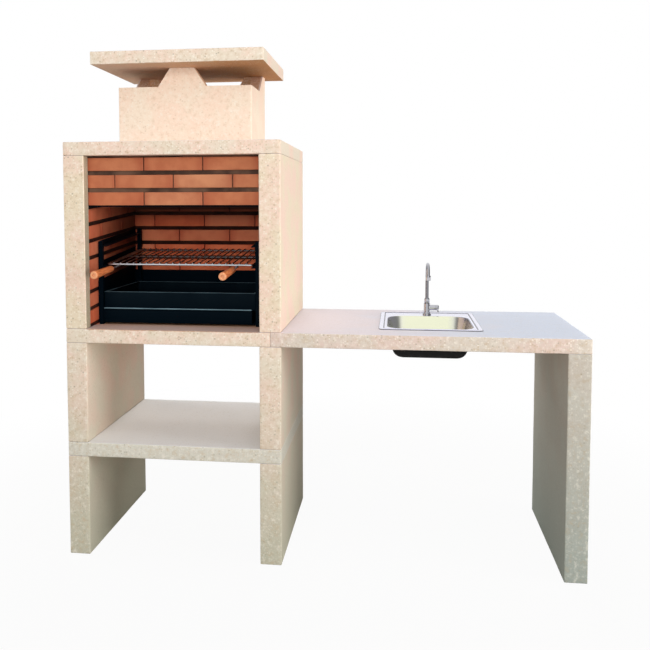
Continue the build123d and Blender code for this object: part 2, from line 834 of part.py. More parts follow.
def pieces():
    """Every node's name and its shape."""
    left_bricks = side_bricks()
    rear_bricks = back_bricks()
    front_bricks = lintel_bricks()
    left_bed = side_mortar(left_bricks)
    mirror_x = hearth_width / 2
    rack_left = rack()
    plate_left = side_plate()
    left_x, right_x = handle_places()
    left_lining = Compound(left_bricks)
    return {
        "lower_left_leg": leg(0, 0, leg_height),
        "lower_middle_leg": leg(inner_right, 0, leg_height),
        "table_leg": leg(table_leg_left, 0, hearth_base),
        "shelf_slab": shelf_slab(),
        "upper_left_leg": leg(0, shelf_top, hearth_base),
        "upper_middle_leg": leg(inner_right, shelf_top, hearth_base),
        "hearth_slab": hearth_slab(),
        "worktop_slab": worktop_slab(),
        "firebox_left_wall": side_wall(),
        "firebox_right_wall": mirrored(side_wall(), mirror_x),
        "firebox_back_wall": back_wall(),
        "firebox_roof_slab": roof_slab(),
        "chimney_shell": chimney_shell(),
        "chimney_cap": chimney_cap(),
        "left_lining_bricks": left_lining,
        "left_lining_mortar": left_bed,
        "right_lining_bricks": mirrored(left_lining, mirror_x),
        "right_lining_mortar": mirrored(left_bed, mirror_x),
        "back_lining_bricks": Compound(rear_bricks),
        "back_lining_mortar": back_mortar(rear_bricks),
        "lintel_bricks": Compound(front_bricks),
        "lintel_mortar": lintel_mortar(front_bricks),
        "lintel_angle": lintel_angle(),
        "left_rack": rack_left,
        "right_rack": mirrored(rack_left, set_middle),
        "left_side_plate": plate_left,
        "right_side_plate": mirrored(plate_left, set_middle),
        "fire_back_plate": back_plate(),
        "charcoal_tray": charcoal_tray(),
        "charcoal_grate": charcoal_grate(),
        "ash_drawer": ash_drawer(),
        "grill_grid": grill_grid(),
        "left_handle": handle(left_x),
        "right_handle": handle(right_x),
        "sink_bowl": sink_bowl(),
        "sink_seal": sink_seal(),
        "sink_clips": sink_clips(),
        "waste_cup": waste_cup(),
        "waste_nut": waste_nut(),
        "sink_strainer": sink_strainer(),
        "tap_body": tap_body(),
        "tap_nut": tap_nut(),
        "tap_collar": tap_collar(),
        "tap_neck": tap_neck(),
        "tap_aerator": tap_aerator(),
        "tap_lever": tap_lever(),
    }


def main():
    os.makedirs("parts", exist_ok=True)
    parts = pieces()
    front = min(parts[name].bounding_box().min.Y for name in ("left_handle", "right_handle"))
    home = Pos(-total_width / 2, -(front + depth) / 2, 0)
    for name, shape in parts.items():
        export_step(home * shape, os.path.join("parts", name + ".step"))
    print("front faces at Y", round(-(front + depth) / 2, 3), "height", cap_top)


if __name__ == "__main__":
    main()
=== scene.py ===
"""Garden barbecue with a worktop: looks for its cast slabs, brickwork, fire set, grill, sink and tap.

Everything is in metres, in the frame's own axes: X along the worktop, Y to the back, Z up.
"""

from __future__ import annotations

import functools
import json
import logging
import math
from collections.abc import Callable
from dataclasses import dataclass, field
from enum import Enum

import bmesh
import bpy
import numpy as np
from mathutils import Matrix, Vector

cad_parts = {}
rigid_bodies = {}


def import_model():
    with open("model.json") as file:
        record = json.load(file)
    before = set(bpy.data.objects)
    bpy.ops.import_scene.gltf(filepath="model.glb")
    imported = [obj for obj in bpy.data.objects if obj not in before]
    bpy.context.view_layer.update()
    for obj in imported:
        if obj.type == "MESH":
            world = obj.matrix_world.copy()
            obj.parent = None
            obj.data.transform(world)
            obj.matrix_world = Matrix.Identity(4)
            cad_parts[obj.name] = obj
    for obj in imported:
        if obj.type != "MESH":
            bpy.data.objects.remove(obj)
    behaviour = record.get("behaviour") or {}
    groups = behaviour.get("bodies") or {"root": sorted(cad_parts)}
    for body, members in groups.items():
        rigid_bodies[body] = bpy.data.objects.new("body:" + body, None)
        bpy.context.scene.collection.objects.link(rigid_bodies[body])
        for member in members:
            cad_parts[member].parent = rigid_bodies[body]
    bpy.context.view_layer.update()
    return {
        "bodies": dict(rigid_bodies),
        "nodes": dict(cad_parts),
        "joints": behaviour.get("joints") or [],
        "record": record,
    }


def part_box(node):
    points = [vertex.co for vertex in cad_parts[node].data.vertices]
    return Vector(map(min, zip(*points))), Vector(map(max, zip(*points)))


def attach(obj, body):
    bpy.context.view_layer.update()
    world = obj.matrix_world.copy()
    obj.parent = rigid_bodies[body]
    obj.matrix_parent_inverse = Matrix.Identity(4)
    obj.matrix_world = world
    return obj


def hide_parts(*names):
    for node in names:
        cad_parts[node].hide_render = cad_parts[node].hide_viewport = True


MM = 0.001
# Cast and fired faces sag in long waves, and their edges chip where short waves pass the start.
SAG_WAVE = 160.0 * MM
CHIP_WAVE = 35.0 * MM
CHIP_START = 0.625
THREAD_PITCH = 2.0 * MM
LOG = logging.getLogger("barbecue")
Socket = bpy.types.NodeSocket
Add = Callable[..., Socket]
# Settings that many nodes share.
COLOURS = {"data_type": "RGBA"}
SMOOTH = {"interpolation_type": "SMOOTHSTEP"}
TIMES = {"operation": "MULTIPLY"}
LESS = {"operation": "SUBTRACT"}
GREATER = {"operation": "MAXIMUM"}
UNSIGNED = {"operation": "ABSOLUTE"}
SOOT_AND_PAINTED_LIGHT = {"attribute_name": "soot"}


def linear(code: str) -> tuple[float, ...]:
    """Turns an sRGB hex colour into linear light.

    Args:
        code: Six hex digits after a hash.

    Returns:
        Red, green, blue and an alpha of one.
    """
    shares = np.array([int(code[i:i + 2], 16) for i in (1, 3, 5)]) / 255
    light = np.where(shares <= 0.04045, shares / 12.92, ((shares + 0.055) / 1.055) ** 2.4)
    return (*light.tolist(), 1.0)


def add_node(tree: bpy.types.NodeTree, kind: str, inputs: list | dict | tuple = (),
             settings: dict | None = None, out: str = "") -> Socket | None:
    """Adds a node with its settings, values and links.

    Args:
        tree: The node tree that gets the node.
        kind: The node's type, less the ShaderNode that each starts with.
        inputs: Values for the inputs in use, in the node's own order, or by name. A socket is linked, a
            hex colour is made linear, and anything else is set as it is.
        settings: Properties of the node.
        out: The output that is wanted, where it isn't the first one in use.

    Returns:
        That output. Its node holds the others.
    """
    node = tree.nodes.new("ShaderNode" + kind)
    for name, value in (settings or {}).items():
        setattr(node, name, value)
    if isinstance(inputs, dict):
        pairs = [(node.inputs[name], value) for name, value in inputs.items()]
    else:
        pairs = list(zip([socket for socket in node.inputs if socket.enabled], inputs))
    for socket, value in pairs:
        if isinstance(value, Socket):
            tree.links.new(value, socket)
        else:
            socket.default_value = linear(value) if isinstance(value, str) else value
    return node.outputs[out] if out else next((socket for socket in node.outputs if socket.enabled), None)


@dataclass(frozen=True)
class Finish:
    """What a surface is made of. Each kind of finish draws its own node tree."""

    name: str
    # The record's material slot of a new piece with this finish.
    slot: str = field(default="", kw_only=True)

    @functools.cache
    def material(self) -> bpy.types.Material:
        """The material, made once and shared."""
        made = bpy.data.materials.new(self.name)
        made.use_nodes = True
        made.node_tree.nodes.clear()
        add = functools.partial(add_node, made.node_tree)
        add("OutputMaterial", [self.draw(add)])
        return made

    def draw(self, add: Add) -> Socket:
        """Draws the surface.

        Args:
            add: Adds a node to the material.

        Returns:
            The shader.
        """
        raise NotImplementedError


@dataclass(frozen=True)
class CastConcrete(Finish):
    """White-cement concrete cast in a mould, with washed marble sand.

    Front and back faces show the sand as specks and pinholes, side faces are smoother from the mould, and
    tops are floated and painted paler and cooler, as painted light from above. Low down the cement is painted
    greyer and greener: painted shade from the dim ground.
    """

    paste: str = "#E6D8C4"
    blush: str = "#EED2C0"
    ground_shade: str = "#BEBCA8"
    # Tops: floated smooth, in colours that carry painted light from above.
    floated_top_cool_painted_light: str = "#D2D8E5"
    floated_top_warm_painted_light: str = "#DFD6DA"
    white_chip: str = "#FBF4E8"
    tan_chip: str = "#C7AC84"
    dark_chip: str = "#8C8168"
    pit_colour: str = "#66594A"
    smoke_and_shade: str = "#B87627"
    slot: str = field(default="cast_concrete", kw_only=True)
    # The real sand is 1 to 3 mm. It is drawn two to four times as coarse, so that it shows.
    grain_mm: float = 7.0
    skin_mm: float = 9.0
    mottle_mm: float = 17.0
    pit_spacing_mm: float = 24.0
    patch_mm: float = 55.0
    cloud_mm: float = 120.0
    skin_depth: float = 0.5 * MM
    grain_depth: float = 0.35 * MM
    pit_depth: float = 1.6 * MM
    # The levels, in metres, between which the painted ground shade fades out.
    ground_shade_low_m: float = -0.15
    ground_shade_high_m: float = 0.95
    speck_share: float = 0.55
    # Faces inside this box, in metres, are darkened and browned: painted shade.
    painted_shade_from: tuple[float, float, float] = (0.0, 0.0, 0.0)
    painted_shade_to: tuple[float, float, float] = (0.0, 0.0, 0.0)

    def draw(self, add: Add) -> Socket:
        """Lays the floated tops with their painted light, the painted shade and browning, the sand and the
        pinholes over the cement.

        Args:
            add: Adds a node.

        Returns:
            The shader.
        """
        place = add("TexCoord", out="Object")
        facing = add("SeparateXYZ", [place.node.outputs["Normal"]]).node.outputs
        spot = add("SeparateXYZ", [place]).node.outputs
        front = add("Math", [facing["Y"]], UNSIGNED)
        shown = add("MapRange", [front, 0.25, 0.8, 0.18, self.speck_share], SMOOTH)
        # Lower down the cement is painted greyer and greener: painted shade from the dim ground.
        ground_shaded = add("MapRange", [spot["Z"], self.ground_shade_low_m, self.ground_shade_high_m, 1.0, 0.0], SMOOTH)
        cloud = add("TexNoise", [place, 1 / (self.cloud_mm * MM), 4.0])
        colour = self.cement(add, place, cloud, ground_shaded, front)
        # Tops were floated smooth, and are painted paler as painted light from above: rosy to the left, and a
        # cool grey to the right.
        drift = add("Math", [cloud, 0.5, spot["X"]], {"operation": "MULTIPLY_ADD"})
        cool = add("MapRange", [drift, 0.25, 1.0], SMOOTH)
        top = add("Mix", [cool, self.floated_top_warm_painted_light, self.floated_top_cool_painted_light], COLOURS)
        colour = add("Mix", [add("MapRange", [facing["Z"], 0.55, 0.9], SMOOTH), colour, top], COLOURS)
        # Where the piece's attribute says, it is browned and darkened: the cap's underside and the hearth in
        # the firebox.
        colour = add("Mix", [add("Attribute", [], SOOT_AND_PAINTED_LIGHT, "Fac"), colour, self.smoke_and_shade], COLOURS)
        # Faces inside the box get painted shade.
        if self.painted_shade_from != self.painted_shade_to:
            colour = add("Mix", [self.inside(add, place), colour, self.smoke_and_shade], COLOURS)
        grains, chips = self.sand(add, place, ground_shaded, shown)
        colour = add("Mix", [grains, colour, chips], COLOURS)
        sunk = self.pinholes(add, place, shown)
        colour = add("Mix", [sunk, colour, self.pit_colour], COLOURS)
        skin = add("TexNoise", [place, 1 / (self.skin_mm * MM), 4.0, 0.6])
        normal = add("Bump", {"Height": skin, "Distance": self.skin_depth})
        normal = add("Bump", {"Height": grains, "Distance": self.grain_depth, "Normal": normal})
        raised = add("Math", [1.0, sunk], LESS)
        normal = add("Bump", {"Height": raised, "Distance": self.pit_depth, "Normal": normal})
        dull = add("MapRange", [skin, 0.0, 1.0, 0.72, 0.95])
        return add("BsdfPrincipled", {"Base Color": colour, "Roughness": dull, "Normal": normal})

    def cement(self, add: Add, place: Socket, cloud: Socket, ground_shaded: Socket, front: Socket) -> Socket:
        """Cream and pink clouds, greyer low down as painted ground shade, with paler and browner spots in
        front.

        Args:
            add: Adds a node.
            place: The place on the object.
            cloud: Large soft noise.
            ground_shaded: How much painted ground shade the place gets.
            front: How much it faces the front or the back.

        Returns:
            The colour.
        """
        colour = add("Mix", [add("MapRange", [cloud, 0.36, 0.64], SMOOTH), self.paste, self.blush], COLOURS)
        colour = add("Mix", [ground_shaded, colour, self.ground_shade], COLOURS)
        mottle = add("TexNoise", [place, 1 / (self.mottle_mm * MM), 3.0, 0.6])
        brown, pale = (0.50, 0.72, 0.0, 0.42), (0.28, 0.48, 0.42, 0.0)
        for spread, shade in ((brown, self.tan_chip), (pale, self.white_chip)):
            spots = add("MapRange", [mottle, *spread], SMOOTH)
            colour = add("Mix", [add("Math", [spots, front], TIMES), colour, shade], COLOURS)
        return colour

    def inside(self, add: Add, place: Socket) -> Socket:
        """The painted-shade box: the largest part of |place - middle| - half is below nought inside it.

        Args:
            add: Adds a node.
            place: The place on the object.

        Returns:
            How much painted shade the place gets.
        """
        low, high = Vector(self.painted_shade_from), Vector(self.painted_shade_to)
        off = add("VectorMath", [place, (low + high) / 2], LESS)
        off = add("VectorMath", [add("VectorMath", [off], UNSIGNED), (high - low) / 2], LESS)
        parts = add("SeparateXYZ", [off]).node.outputs
        depth = add("Math", [add("Math", [parts["X"], parts["Y"]], GREATER), parts["Z"]], GREATER)
        return add("MapRange", [depth, -MM, 0.0, 0.62, 0.0], SMOOTH)

    def sand(self, add: Add, place: Socket, ground_shaded: Socket, shown: Socket) -> tuple[Socket, Socket]:
        """Grains of sand in four colours, denser in some patches than in others.

        Args:
            add: Adds a node.
            place: The place on the object.
            ground_shaded: How much painted ground shade the place gets.
            shown: How much of the sand shows.

        Returns:
            How much the place is grain, and the grain's colour.
        """
        grains = add("TexVoronoi", [place, 1 / (self.grain_mm * MM)]).node.outputs
        pick = add("SeparateColor", [grains["Color"]])
        chips = self.dark_chip
        steps = ((0.0, 0.10, self.tan_chip), (0.10, 0.30, self.paste), (0.72, 0.88, self.white_chip))
        for start, end, shade in steps:
            chips = add("Mix", [add("MapRange", [pick, start, end], SMOOTH), chips, shade], COLOURS)
        # Low down the grains take the painted ground shade too.
        chips = add("Mix", [add("Math", [ground_shaded, 0.55], TIMES), chips, self.ground_shade], COLOURS)
        body = add("MapRange", [grains["Distance"], 0.30, 0.60, 1.0, 0.0], SMOOTH)
        patch = add("TexNoise", [place, 1 / (self.patch_mm * MM), 2.0])
        dense = add("MapRange", [patch, 0.35, 0.65, 0.45, 1.0], SMOOTH)
        return add("Math", [add("Math", [body, shown], TIMES), dense], TIMES), chips

    def pinholes(self, add: Add, place: Socket, shown: Socket) -> Socket:
        """Small holes that air left at the mould.

        Args:
            add: Adds a node.
            place: The place on the object.
            shown: How much of them shows.

        Returns:
            How deep the place is in a hole.
        """
        pits = add("TexVoronoi", [place, 1 / (self.pit_spacing_mm * MM)]).node.outputs
        kept = add("SeparateColor", [pits["Color"]], out="Green")
        hole = add("MapRange", [pits["Distance"], 0.06, 0.11, 1.0, 0.0], SMOOTH)
        rare = add("MapRange", [kept, 0.55, 0.6], SMOOTH)
        return add("Math", [add("Math", [hole, rare], TIMES), shown], TIMES)


@dataclass(frozen=True)
class FiredClay(Finish):
    """Extruded and fired clay brick: orange faces that redden to the ends, and fine drag lines from the die.

    The piece carries two attributes: tone, which differs from brick to brick, and along, from one end of a
    brick to the other.
    """

    face: str = "#C57650"
    pale: str = "#D08D66"
    flashed: str = "#9C4630"
    smoke_and_shade: str = "#1C0F0B"
    slot: str = field(default="fire_brick", kw_only=True)
    pore_mm: float = 2.6
    drag_mm: float = 5.0
    blotch_mm: float = 60.0
    # The drag lines run up the brick, and are shaded to this grey.
    drawn_out: tuple[float, float, float] = (1.0, 1.0, 0.12)
    drag_grey: str = "#E1E1E1"

    def draw(self, add: Add) -> Socket:
        """Reddened ends, a tone for each brick, drag lines, pores and painted shade.

        Args:
            add: Adds a node.

        Returns:
            The shader.
        """
        place = add("TexCoord", out="Object")
        tone = add("Attribute", [], {"attribute_name": "tone"}, "Fac")
        along = add("Attribute", [], {"attribute_name": "along"}, "Fac")
        ends = 0.75
        for start, end, level in ((0.0, 0.16, 0.12), (0.16, 0.45, 0.0), (0.45, 0.80, 0.18), (0.80, 1.0, 0.7)):
            ends = add("MapRange", [along, start, end, ends, level], SMOOTH)
        blotch = add("TexNoise", [place, 1 / (self.blotch_mm * MM), 3.0])
        blotch = add("MapRange", [blotch, 0.35, 0.7], SMOOTH)
        stretched = add("Mapping", {"Vector": place, "Scale": self.drawn_out})
        drag = add("TexNoise", [stretched, 1 / (self.drag_mm * MM), 3.0])
        pores = add("TexNoise", [place, 1 / (self.pore_mm * MM), 2.0])
        colour = add("Mix", [tone, self.face, self.pale], COLOURS)
        for part, share in ((blotch, 0.35), (ends, 0.7)):
            colour = add("Mix", [add("Math", [part, share], TIMES), colour, self.flashed], COLOURS)
        lines = add("Math", [drag, 0.25], TIMES)
        colour = add("Mix", [lines, colour, self.drag_grey], {**COLOURS, "blend_type": "MULTIPLY"})
        # Where the piece's attribute says, the brick is painted nearly black: painted shade inside the
        # firebox.
        colour = add("Mix", [add("Attribute", [], SOOT_AND_PAINTED_LIGHT, "Fac"), colour, self.smoke_and_shade], COLOURS)
        normal = add("Bump", {"Height": drag, "Distance": 0.25 * MM})
        normal = add("Bump", {"Height": pores, "Distance": 0.3 * MM, "Normal": normal})
        return add("BsdfPrincipled", {"Base Color": colour, "Roughness": 0.82, "Normal": normal})


@dataclass(frozen=True)
class SmokedMortar(Finish):
    """Refractory mortar, raked back and smoked: dark, dull and sandy."""

    light: str = "#6E5242"
    soot: str = "#3A2A22"
    patch_mm: float = 90.0
    sand_mm: float = 2.5

    def draw(self, add: Add) -> Socket:
        """Soot in patches over sandy mortar.

        Args:
            add: Adds a node.

        Returns:
            The shader.
        """
        place = add("TexCoord", out="Object")
        patch = add("TexNoise", [place, 1 / (self.patch_mm * MM), 3.0])
        patch = add("MapRange", [patch, 0.3, 0.7], SMOOTH)
        sand = add("TexNoise", [place, 1 / (self.sand_mm * MM), 3.0])
        return add("BsdfPrincipled", {
            "Base Color": add("Mix", [patch, self.soot, self.light], COLOURS), "Roughness": 0.95,
            "Normal": add("Bump", {"Height": sand, "Distance": 0.8 * MM})})


@dataclass(frozen=True)
class StovePaint(Finish):
    """Folded sheet steel in satin black stove paint: blue-black, with a faint orange peel and some dust."""

    coat: str = "#010B13"
    dust: str = "#101D27"
    painted_highlight: str = "#8FB0BC"
    slot: str = field(default="black_steel", kw_only=True)
    dust_mm: float = 70.0
    cloud_mm: float = 30.0
    peel_mm: float = 6.0

    def draw(self, add: Add) -> Socket:
        """Blue-black coat, dust on what faces up, painted highlights along the folds, and an orange peel.

        Args:
            add: Adds a node.

        Returns:
            The shader.
        """
        place = add("TexCoord", out="Object")
        facing = add("SeparateXYZ", [place.node.outputs["Normal"]]).node.outputs
        up = add("MapRange", [facing["Z"], 0.3, 0.9, 0.0, 0.55], SMOOTH)
        dust = add("TexNoise", [place, 1 / (self.dust_mm * MM), 3.0])
        dust = add("MapRange", [dust, 0.4, 0.7, 0.2, 1.0], SMOOTH)
        colour = add("Mix", [add("Math", [up, dust], TIMES), self.coat, self.dust], COLOURS)
        # Folds get a pale painted highlight: the attribute wear says where.
        worn = add("Attribute", [], {"attribute_name": "wear"}, "Fac")
        cloud = add("TexNoise", [place, 1 / (self.cloud_mm * MM), 3.0])
        peel = add("TexNoise", [place, 1 / (self.peel_mm * MM), 1.0])
        return add("BsdfPrincipled", {
            "Base Color": add("Mix", [worn, colour, self.painted_highlight], COLOURS),
            "Roughness": add("MapRange", [cloud, 0.0, 1.0, 0.36, 0.52]),
            # Graphite in the paint swallows most of the gloss.
            "Specular IOR Level": 0.04,
            "Normal": add("Bump", {"Height": peel, "Distance": 0.05 * MM})})


@dataclass(frozen=True)
class BareMetal(Finish):
    """A bare or plated metal: its colour, its gloss, and the cloud that its making left on it."""

    shade: str
    smooth: float
    dull: float
    mark_mm: float
    relief: float
    # Attributes of the piece, each with the colour that it turns the metal to.
    marks: tuple[tuple[str, str], ...] = ()

    def draw(self, add: Add) -> Socket:
        """Metal with a roughness that wanders between smooth and dull.

        Args:
            add: Adds a node.

        Returns:
            The shader.
        """
        place = add("TexCoord", out="Object")
        cloud = add("TexNoise", [place, 1 / (self.mark_mm * MM), 4.0, 0.6])
        colour = self.shade
        for attribute, shade in self.marks:
            share = add("Attribute", [], {"attribute_name": attribute}, "Fac")
            colour = add("Mix", [share, colour, shade], COLOURS)
        return add("BsdfPrincipled", {
            "Base Color": colour, "Metallic": 1.0,
            "Roughness": add("MapRange", [cloud, 0.0, 1.0, self.smooth, self.dull]),
            "Normal": add("Bump", {"Height": cloud, "Distance": self.relief})})


@dataclass(frozen=True)
class TurnedWood(Finish):
    """Turned beech in orange-brown varnish: grain lines along the grip, and paler ends, a painted sheen."""

    varnish: str = "#E88E56"
    grain: str = "#C0643A"
    sheen: str = "#F0B080"
    slot: str = field(default="turned_beech", kw_only=True)
    line_mm: float = 2.2
    # The grain runs along Y.
    drawn_out: tuple[float, float, float] = (1.0, 0.06, 1.0)

    def draw(self, add: Add) -> Socket:
        """Lines stretched along the grip, and a thin clear coat.

        Args:
            add: Adds a node.

        Returns:
            The shader.
        """
        place = add("TexCoord", out="Object")
        facing = add("SeparateXYZ", [place.node.outputs["Normal"]]).node.outputs
        stretched = add("Mapping", {"Vector": place, "Scale": self.drawn_out})
        lines = add("TexNoise", [stretched, 1 / (self.line_mm * MM), 3.0])
        lines = add("MapRange", [lines, 0.38, 0.62], SMOOTH)
        colour = add("Mix", [lines, self.grain, self.varnish], COLOURS)
        # Faces that look along the grip are painted paler: a painted sheen on the ends.
        end = add("MapRange", [add("Math", [facing["Y"]], UNSIGNED), 0.45, 0.8, 0.0, 0.6], SMOOTH)
        return add("BsdfPrincipled", {
            "Base Color": add("Mix", [end, colour, self.sheen], COLOURS), "Roughness": 0.38,
            "Coat Weight": 0.4, "Coat Roughness": 0.15,
            "Normal": add("Bump", {"Height": lines, "Distance": 0.06 * MM})})


@dataclass(frozen=True)
class Moulded(Finish):
    """A moulded plastic, rubber or sprayed coat: one colour that mottles a little, and a fine grain."""

    shade: str
    shadow: str
    rough: float
    # A moulded grain is really under 1 mm. It is drawn coarser, so that it shows.
    grain_mm: float = 2.0
    mottle_mm: float = 25.0

    def draw(self, add: Add) -> Socket:
        """A faint mottle and a grained skin.

        Args:
            add: Adds a node.

        Returns:
            The shader.
        """
        place = add("TexCoord", out="Object")
        mottle = add("TexNoise", [place, 1 / (self.mottle_mm * MM), 3.0])
        grain = add("TexNoise", [place, 1 / (self.grain_mm * MM), 3.0])
        return add("BsdfPrincipled", {
            "Base Color": add("Mix", [mottle, self.shadow, self.shade], COLOURS), "Roughness": self.rough,
            "Normal": add("Bump", {"Height": grain, "Distance": 0.08 * MM})})


@dataclass(frozen=True)
class FloorPaint(Finish):
    """Pale matt floor paint that keeps shadows, and fades to white away from the object."""

    shade: str = "#ABA8A3"
    lift: float = 0.95
    fade_start_m: float = 1.0
    fade_end_m: float = 2.6

    def draw(self, add: Add) -> Socket:
        """Paint for light, nearly white for the eye, and white for reflections far off.

        Args:
            add: Adds a node.

        Returns:
            The shader.
        """
        rays = add("LightPath").node.outputs
        far = add("VectorMath", [add("TexCoord", out="Object")], {"operation": "LENGTH"})
        fade = add("MapRange", [far, self.fade_start_m, self.fade_end_m], SMOOTH)
        lift = add("MapRange", [fade, 0.0, 1.0, self.lift, 1.0])
        lifted = add("Math", [rays["Is Camera Ray"], lift], TIMES)
        mirror = add("Math", [rays["Is Glossy Ray"], rays["Is Transmission Ray"]], GREATER)
        share = add("Math", [lifted, add("Math", [fade, mirror], TIMES)], GREATER)
        return add("MixShader", [share, add("BsdfDiffuse", [self.shade]), add("Emission", ["#FFFFFF", 1.0])])


CONCRETE = CastConcrete("Cast white-cement concrete")
# The chimney's pour came out paler, and the table leg's greyer.
# Inside the chimney's shell the faces are darkened and browned: painted shade.
PALE_CONCRETE = CastConcrete(
    "Cast white-cement concrete, pale pour", "#F6E4CE", "#F8DEC8", pit_colour="#C09A76", dark_chip="#C4A684",
    tan_chip="#DCC0A0", speck_share=0.34, painted_shade_from=(-0.785, -0.064, 1.5), painted_shade_to=(-0.277, 0.223, 1.9))
GREY_CONCRETE = CastConcrete(
    "Cast white-cement concrete, grey pour", "#C7C1B5", "#C6BBAE", "#9CA49C", "#D8D7D4", "#DAD8D2",
    white_chip="#E9E4D6", tan_chip="#B8A484", speck_share=0.42)
# The worktop's pour is a little greyer, and the shelf's top is painted nearly white: painted light on the
# shaded shelf.
WORKTOP_CONCRETE = CastConcrete("Cast white-cement concrete, worktop pour", "#D8CCBE", "#E0C8BC")
SHELF_CONCRETE = CastConcrete(
    "Cast white-cement concrete, shelf pour", "#E8E0D3", "#E4DACE", "#BEBFB0", "#E6E7EA", "#E8E7E6")
# Around the fire the walls are painted darker on the inside: painted shade.
FIRE_CONCRETE = CastConcrete(
    "Cast white-cement concrete, smoked inside", "#E8D8BE", smoke_and_shade="#8C8468",
    painted_shade_from=(-0.858, -0.272, 0.84), painted_shade_to=(-0.204, 0.31, 1.49))
CLAY = FiredClay("Extruded fired clay")
# Behind the lintel the bricks are a brighter, redder copy of the clay: painted light inside the firebox.
FIREBOX_BRIGHTENED_CLAY = FiredClay("Heat-reddened fired clay", "#EE784F", "#F08F68", "#C45238")
MORTAR = SmokedMortar("Raked refractory mortar")
HEARTH_MORTAR = SmokedMortar("Raked refractory mortar, sooted", "#402219", "#22110B")
BLACK_STEEL = StovePaint("Stove-painted sheet steel")
# Zinc-plated wire is bright and a little cloudy. Behind the front wire it is turned dark brown: sooting and
# painted shade.
WIRE = BareMetal("Zinc-plated drawn wire", "#DADDE2", 0.2, 0.4, 14.0, 0.02 * MM, (("soot", "#2A1D17"),),
                 slot="zinc_plated_wire")
# Pressed stainless sheet is satin, so its reflections are soft. Its pale lilac shade is a painted reflection,
# and so are its marks.
STAINLESS = BareMetal("Pressed stainless sheet", "#EBEAF8", 0.20, 0.30, 10.0, 0.01 * MM,
                      (("soot", "#F5F7DA"), ("crease", "#5E5C70")), slot="stainless_sheet")
# Polished chrome on brass mirrors the room. The attribute crease says where it is painted darker: a painted
# dark reflection.
CHROME = BareMetal("Polished chrome plate", "#C0C0C6", 0.04, 0.08, 12.0, 0.004 * MM, (("crease", "#5C5A5E"),),
                   slot="chromed_brass")
# Turned brass is yellow, and its fine lines read as a slight cloud.
BRASS = BareMetal("Turned brass", "#C9A661", 0.2, 0.32, 4.0, 0.02 * MM)
BEECH = TurnedWood("Varnished turned beech")
# Sprayed under the bowl against drumming, matt, and near black: painted shade under the bowl.
SHADED_DRUM_COAT = Moulded("Sprayed anti-drumming coat", "#17181A", "#0D0E10", 0.85, 3.0)
# Moulded rubber is near black with a soft sheen, and polypropylene is white and a little waxy.
SEAL_RUBBER = Moulded("Moulded seal rubber", "#242424", "#1A1A1A", 0.7)
WHITE_PLASTIC = Moulded("Moulded polypropylene", "#DEDEDA", "#CDCDC8", 0.45)
FLOOR_PAINT = FloorPaint("Painted floor")


def quads(rows: int, columns: int, wrap_rows: bool, wrap_columns: bool) -> np.ndarray:
    """The four-sided faces between the points of a grid.

    Args:
        rows: Number of rows of points.
        columns: Number of points in a row.
        wrap_rows: The last row joins the first.
        wrap_columns: Each row's end joins its start.

    Returns:
        Point numbers, four to a face.
    """
    i = np.arange(rows if wrap_rows else rows - 1)[:, None]
    j = np.arange(columns if wrap_columns else columns - 1)[None, :]
    below, beside = (i + 1) % rows, (j + 1) % columns
    corners = (i * columns + j, i * columns + beside, below * columns + beside, below * columns + j)
    return np.stack(np.broadcast_arrays(*corners), -1).reshape(-1, 4)


def ease(value: np.ndarray, start: float, end: float) -> np.ndarray:
    """Goes smoothly from nought to one: three times the square, less twice the cube, of the share.

    Args:
        value: Numbers.
        start: Where it is nought.
        end: Where it is one. It may be below the start.

    Returns:
        The eased shares.
    """
    share = np.clip((value - start) / (end - start), 0, 1)
    return share * share * (3 - 2 * share)


def carried(points: np.ndarray, matrix: Matrix) -> np.ndarray:
    """Carries points through a turn and a shift.

    Args:
        points: Places.
        matrix: The turn and the shift.

    Returns:
        The new places.
    """
    return points @ np.array(matrix.to_3x3()).T + np.array(matrix.to_translation())


def frame_along(path: np.ndarray, closed: bool) -> tuple[np.ndarray, np.ndarray]:
    """Two directions across a path that turn with it and never twist.

    The tangent is the difference of the neighbours. The first side direction is carried from point to
    point, less its part along the new tangent. The second is the tangent's cross product with it.

    Args:
        path: Points, one to a row.
        closed: The path ends where it starts.

    Returns:
        The side and the upper direction at each point.
    """
    if closed:
        tangent = np.roll(path, -1, 0) - np.roll(path, 1, 0)
    else:
        tangent = np.vstack([path[1:], path[-1:]]) - np.vstack([path[:1], path[:-1]])
    tangent /= np.linalg.norm(tangent, axis=1, keepdims=True)
    side = np.empty_like(path)
    kept = np.eye(3)[np.argmin(np.abs(tangent[0]))]
    for index, direction in enumerate(tangent):
        kept = kept - direction * (kept @ direction)
        kept = kept / np.linalg.norm(kept)
        side[index] = kept
    return side, np.cross(tangent, side)


def tube(path: np.ndarray, radius: float, around: int = 12, closed: bool = False) -> np.ndarray:
    """A round bar along a path: a circle of the radius in the two directions across each point.

    An open bar's ends are rounded off to a point by rings that shrink on a quarter circle.

    Args:
        path: Points, one to a row.
        radius: The bar's radius.
        around: Points round the bar.
        closed: The path is a loop.

    Returns:
        A grid of points, one ring to a row.
    """
    side, upper = frame_along(path, closed)
    sizes = np.full(len(path), radius)
    if not closed:
        fall = np.linspace(0, math.pi / 2, 5)[1:]
        path = path.copy()
        caps = []
        for end, inner in ((0, 1), (-1, -2)):
            out = (path[end] - path[inner]) / np.linalg.norm(path[end] - path[inner])
            path[end] -= out * radius
            caps.append(path[end] + np.outer(np.sin(fall) * radius, out))
        path = np.vstack([caps[0][::-1], path, caps[1]])
        sizes = np.concatenate([np.cos(fall)[::-1] * radius, sizes, np.cos(fall) * radius])
        side, upper = (np.pad(way, ((len(fall), len(fall)), (0, 0)), "edge") for way in (side, upper))
    turn = np.linspace(0, 2 * math.pi, around, endpoint=False)
    ring = np.cos(turn)[None, :, None] * side[:, None] + np.sin(turn)[None, :, None] * upper[:, None]
    return path[:, None] + sizes[:, None, None] * ring


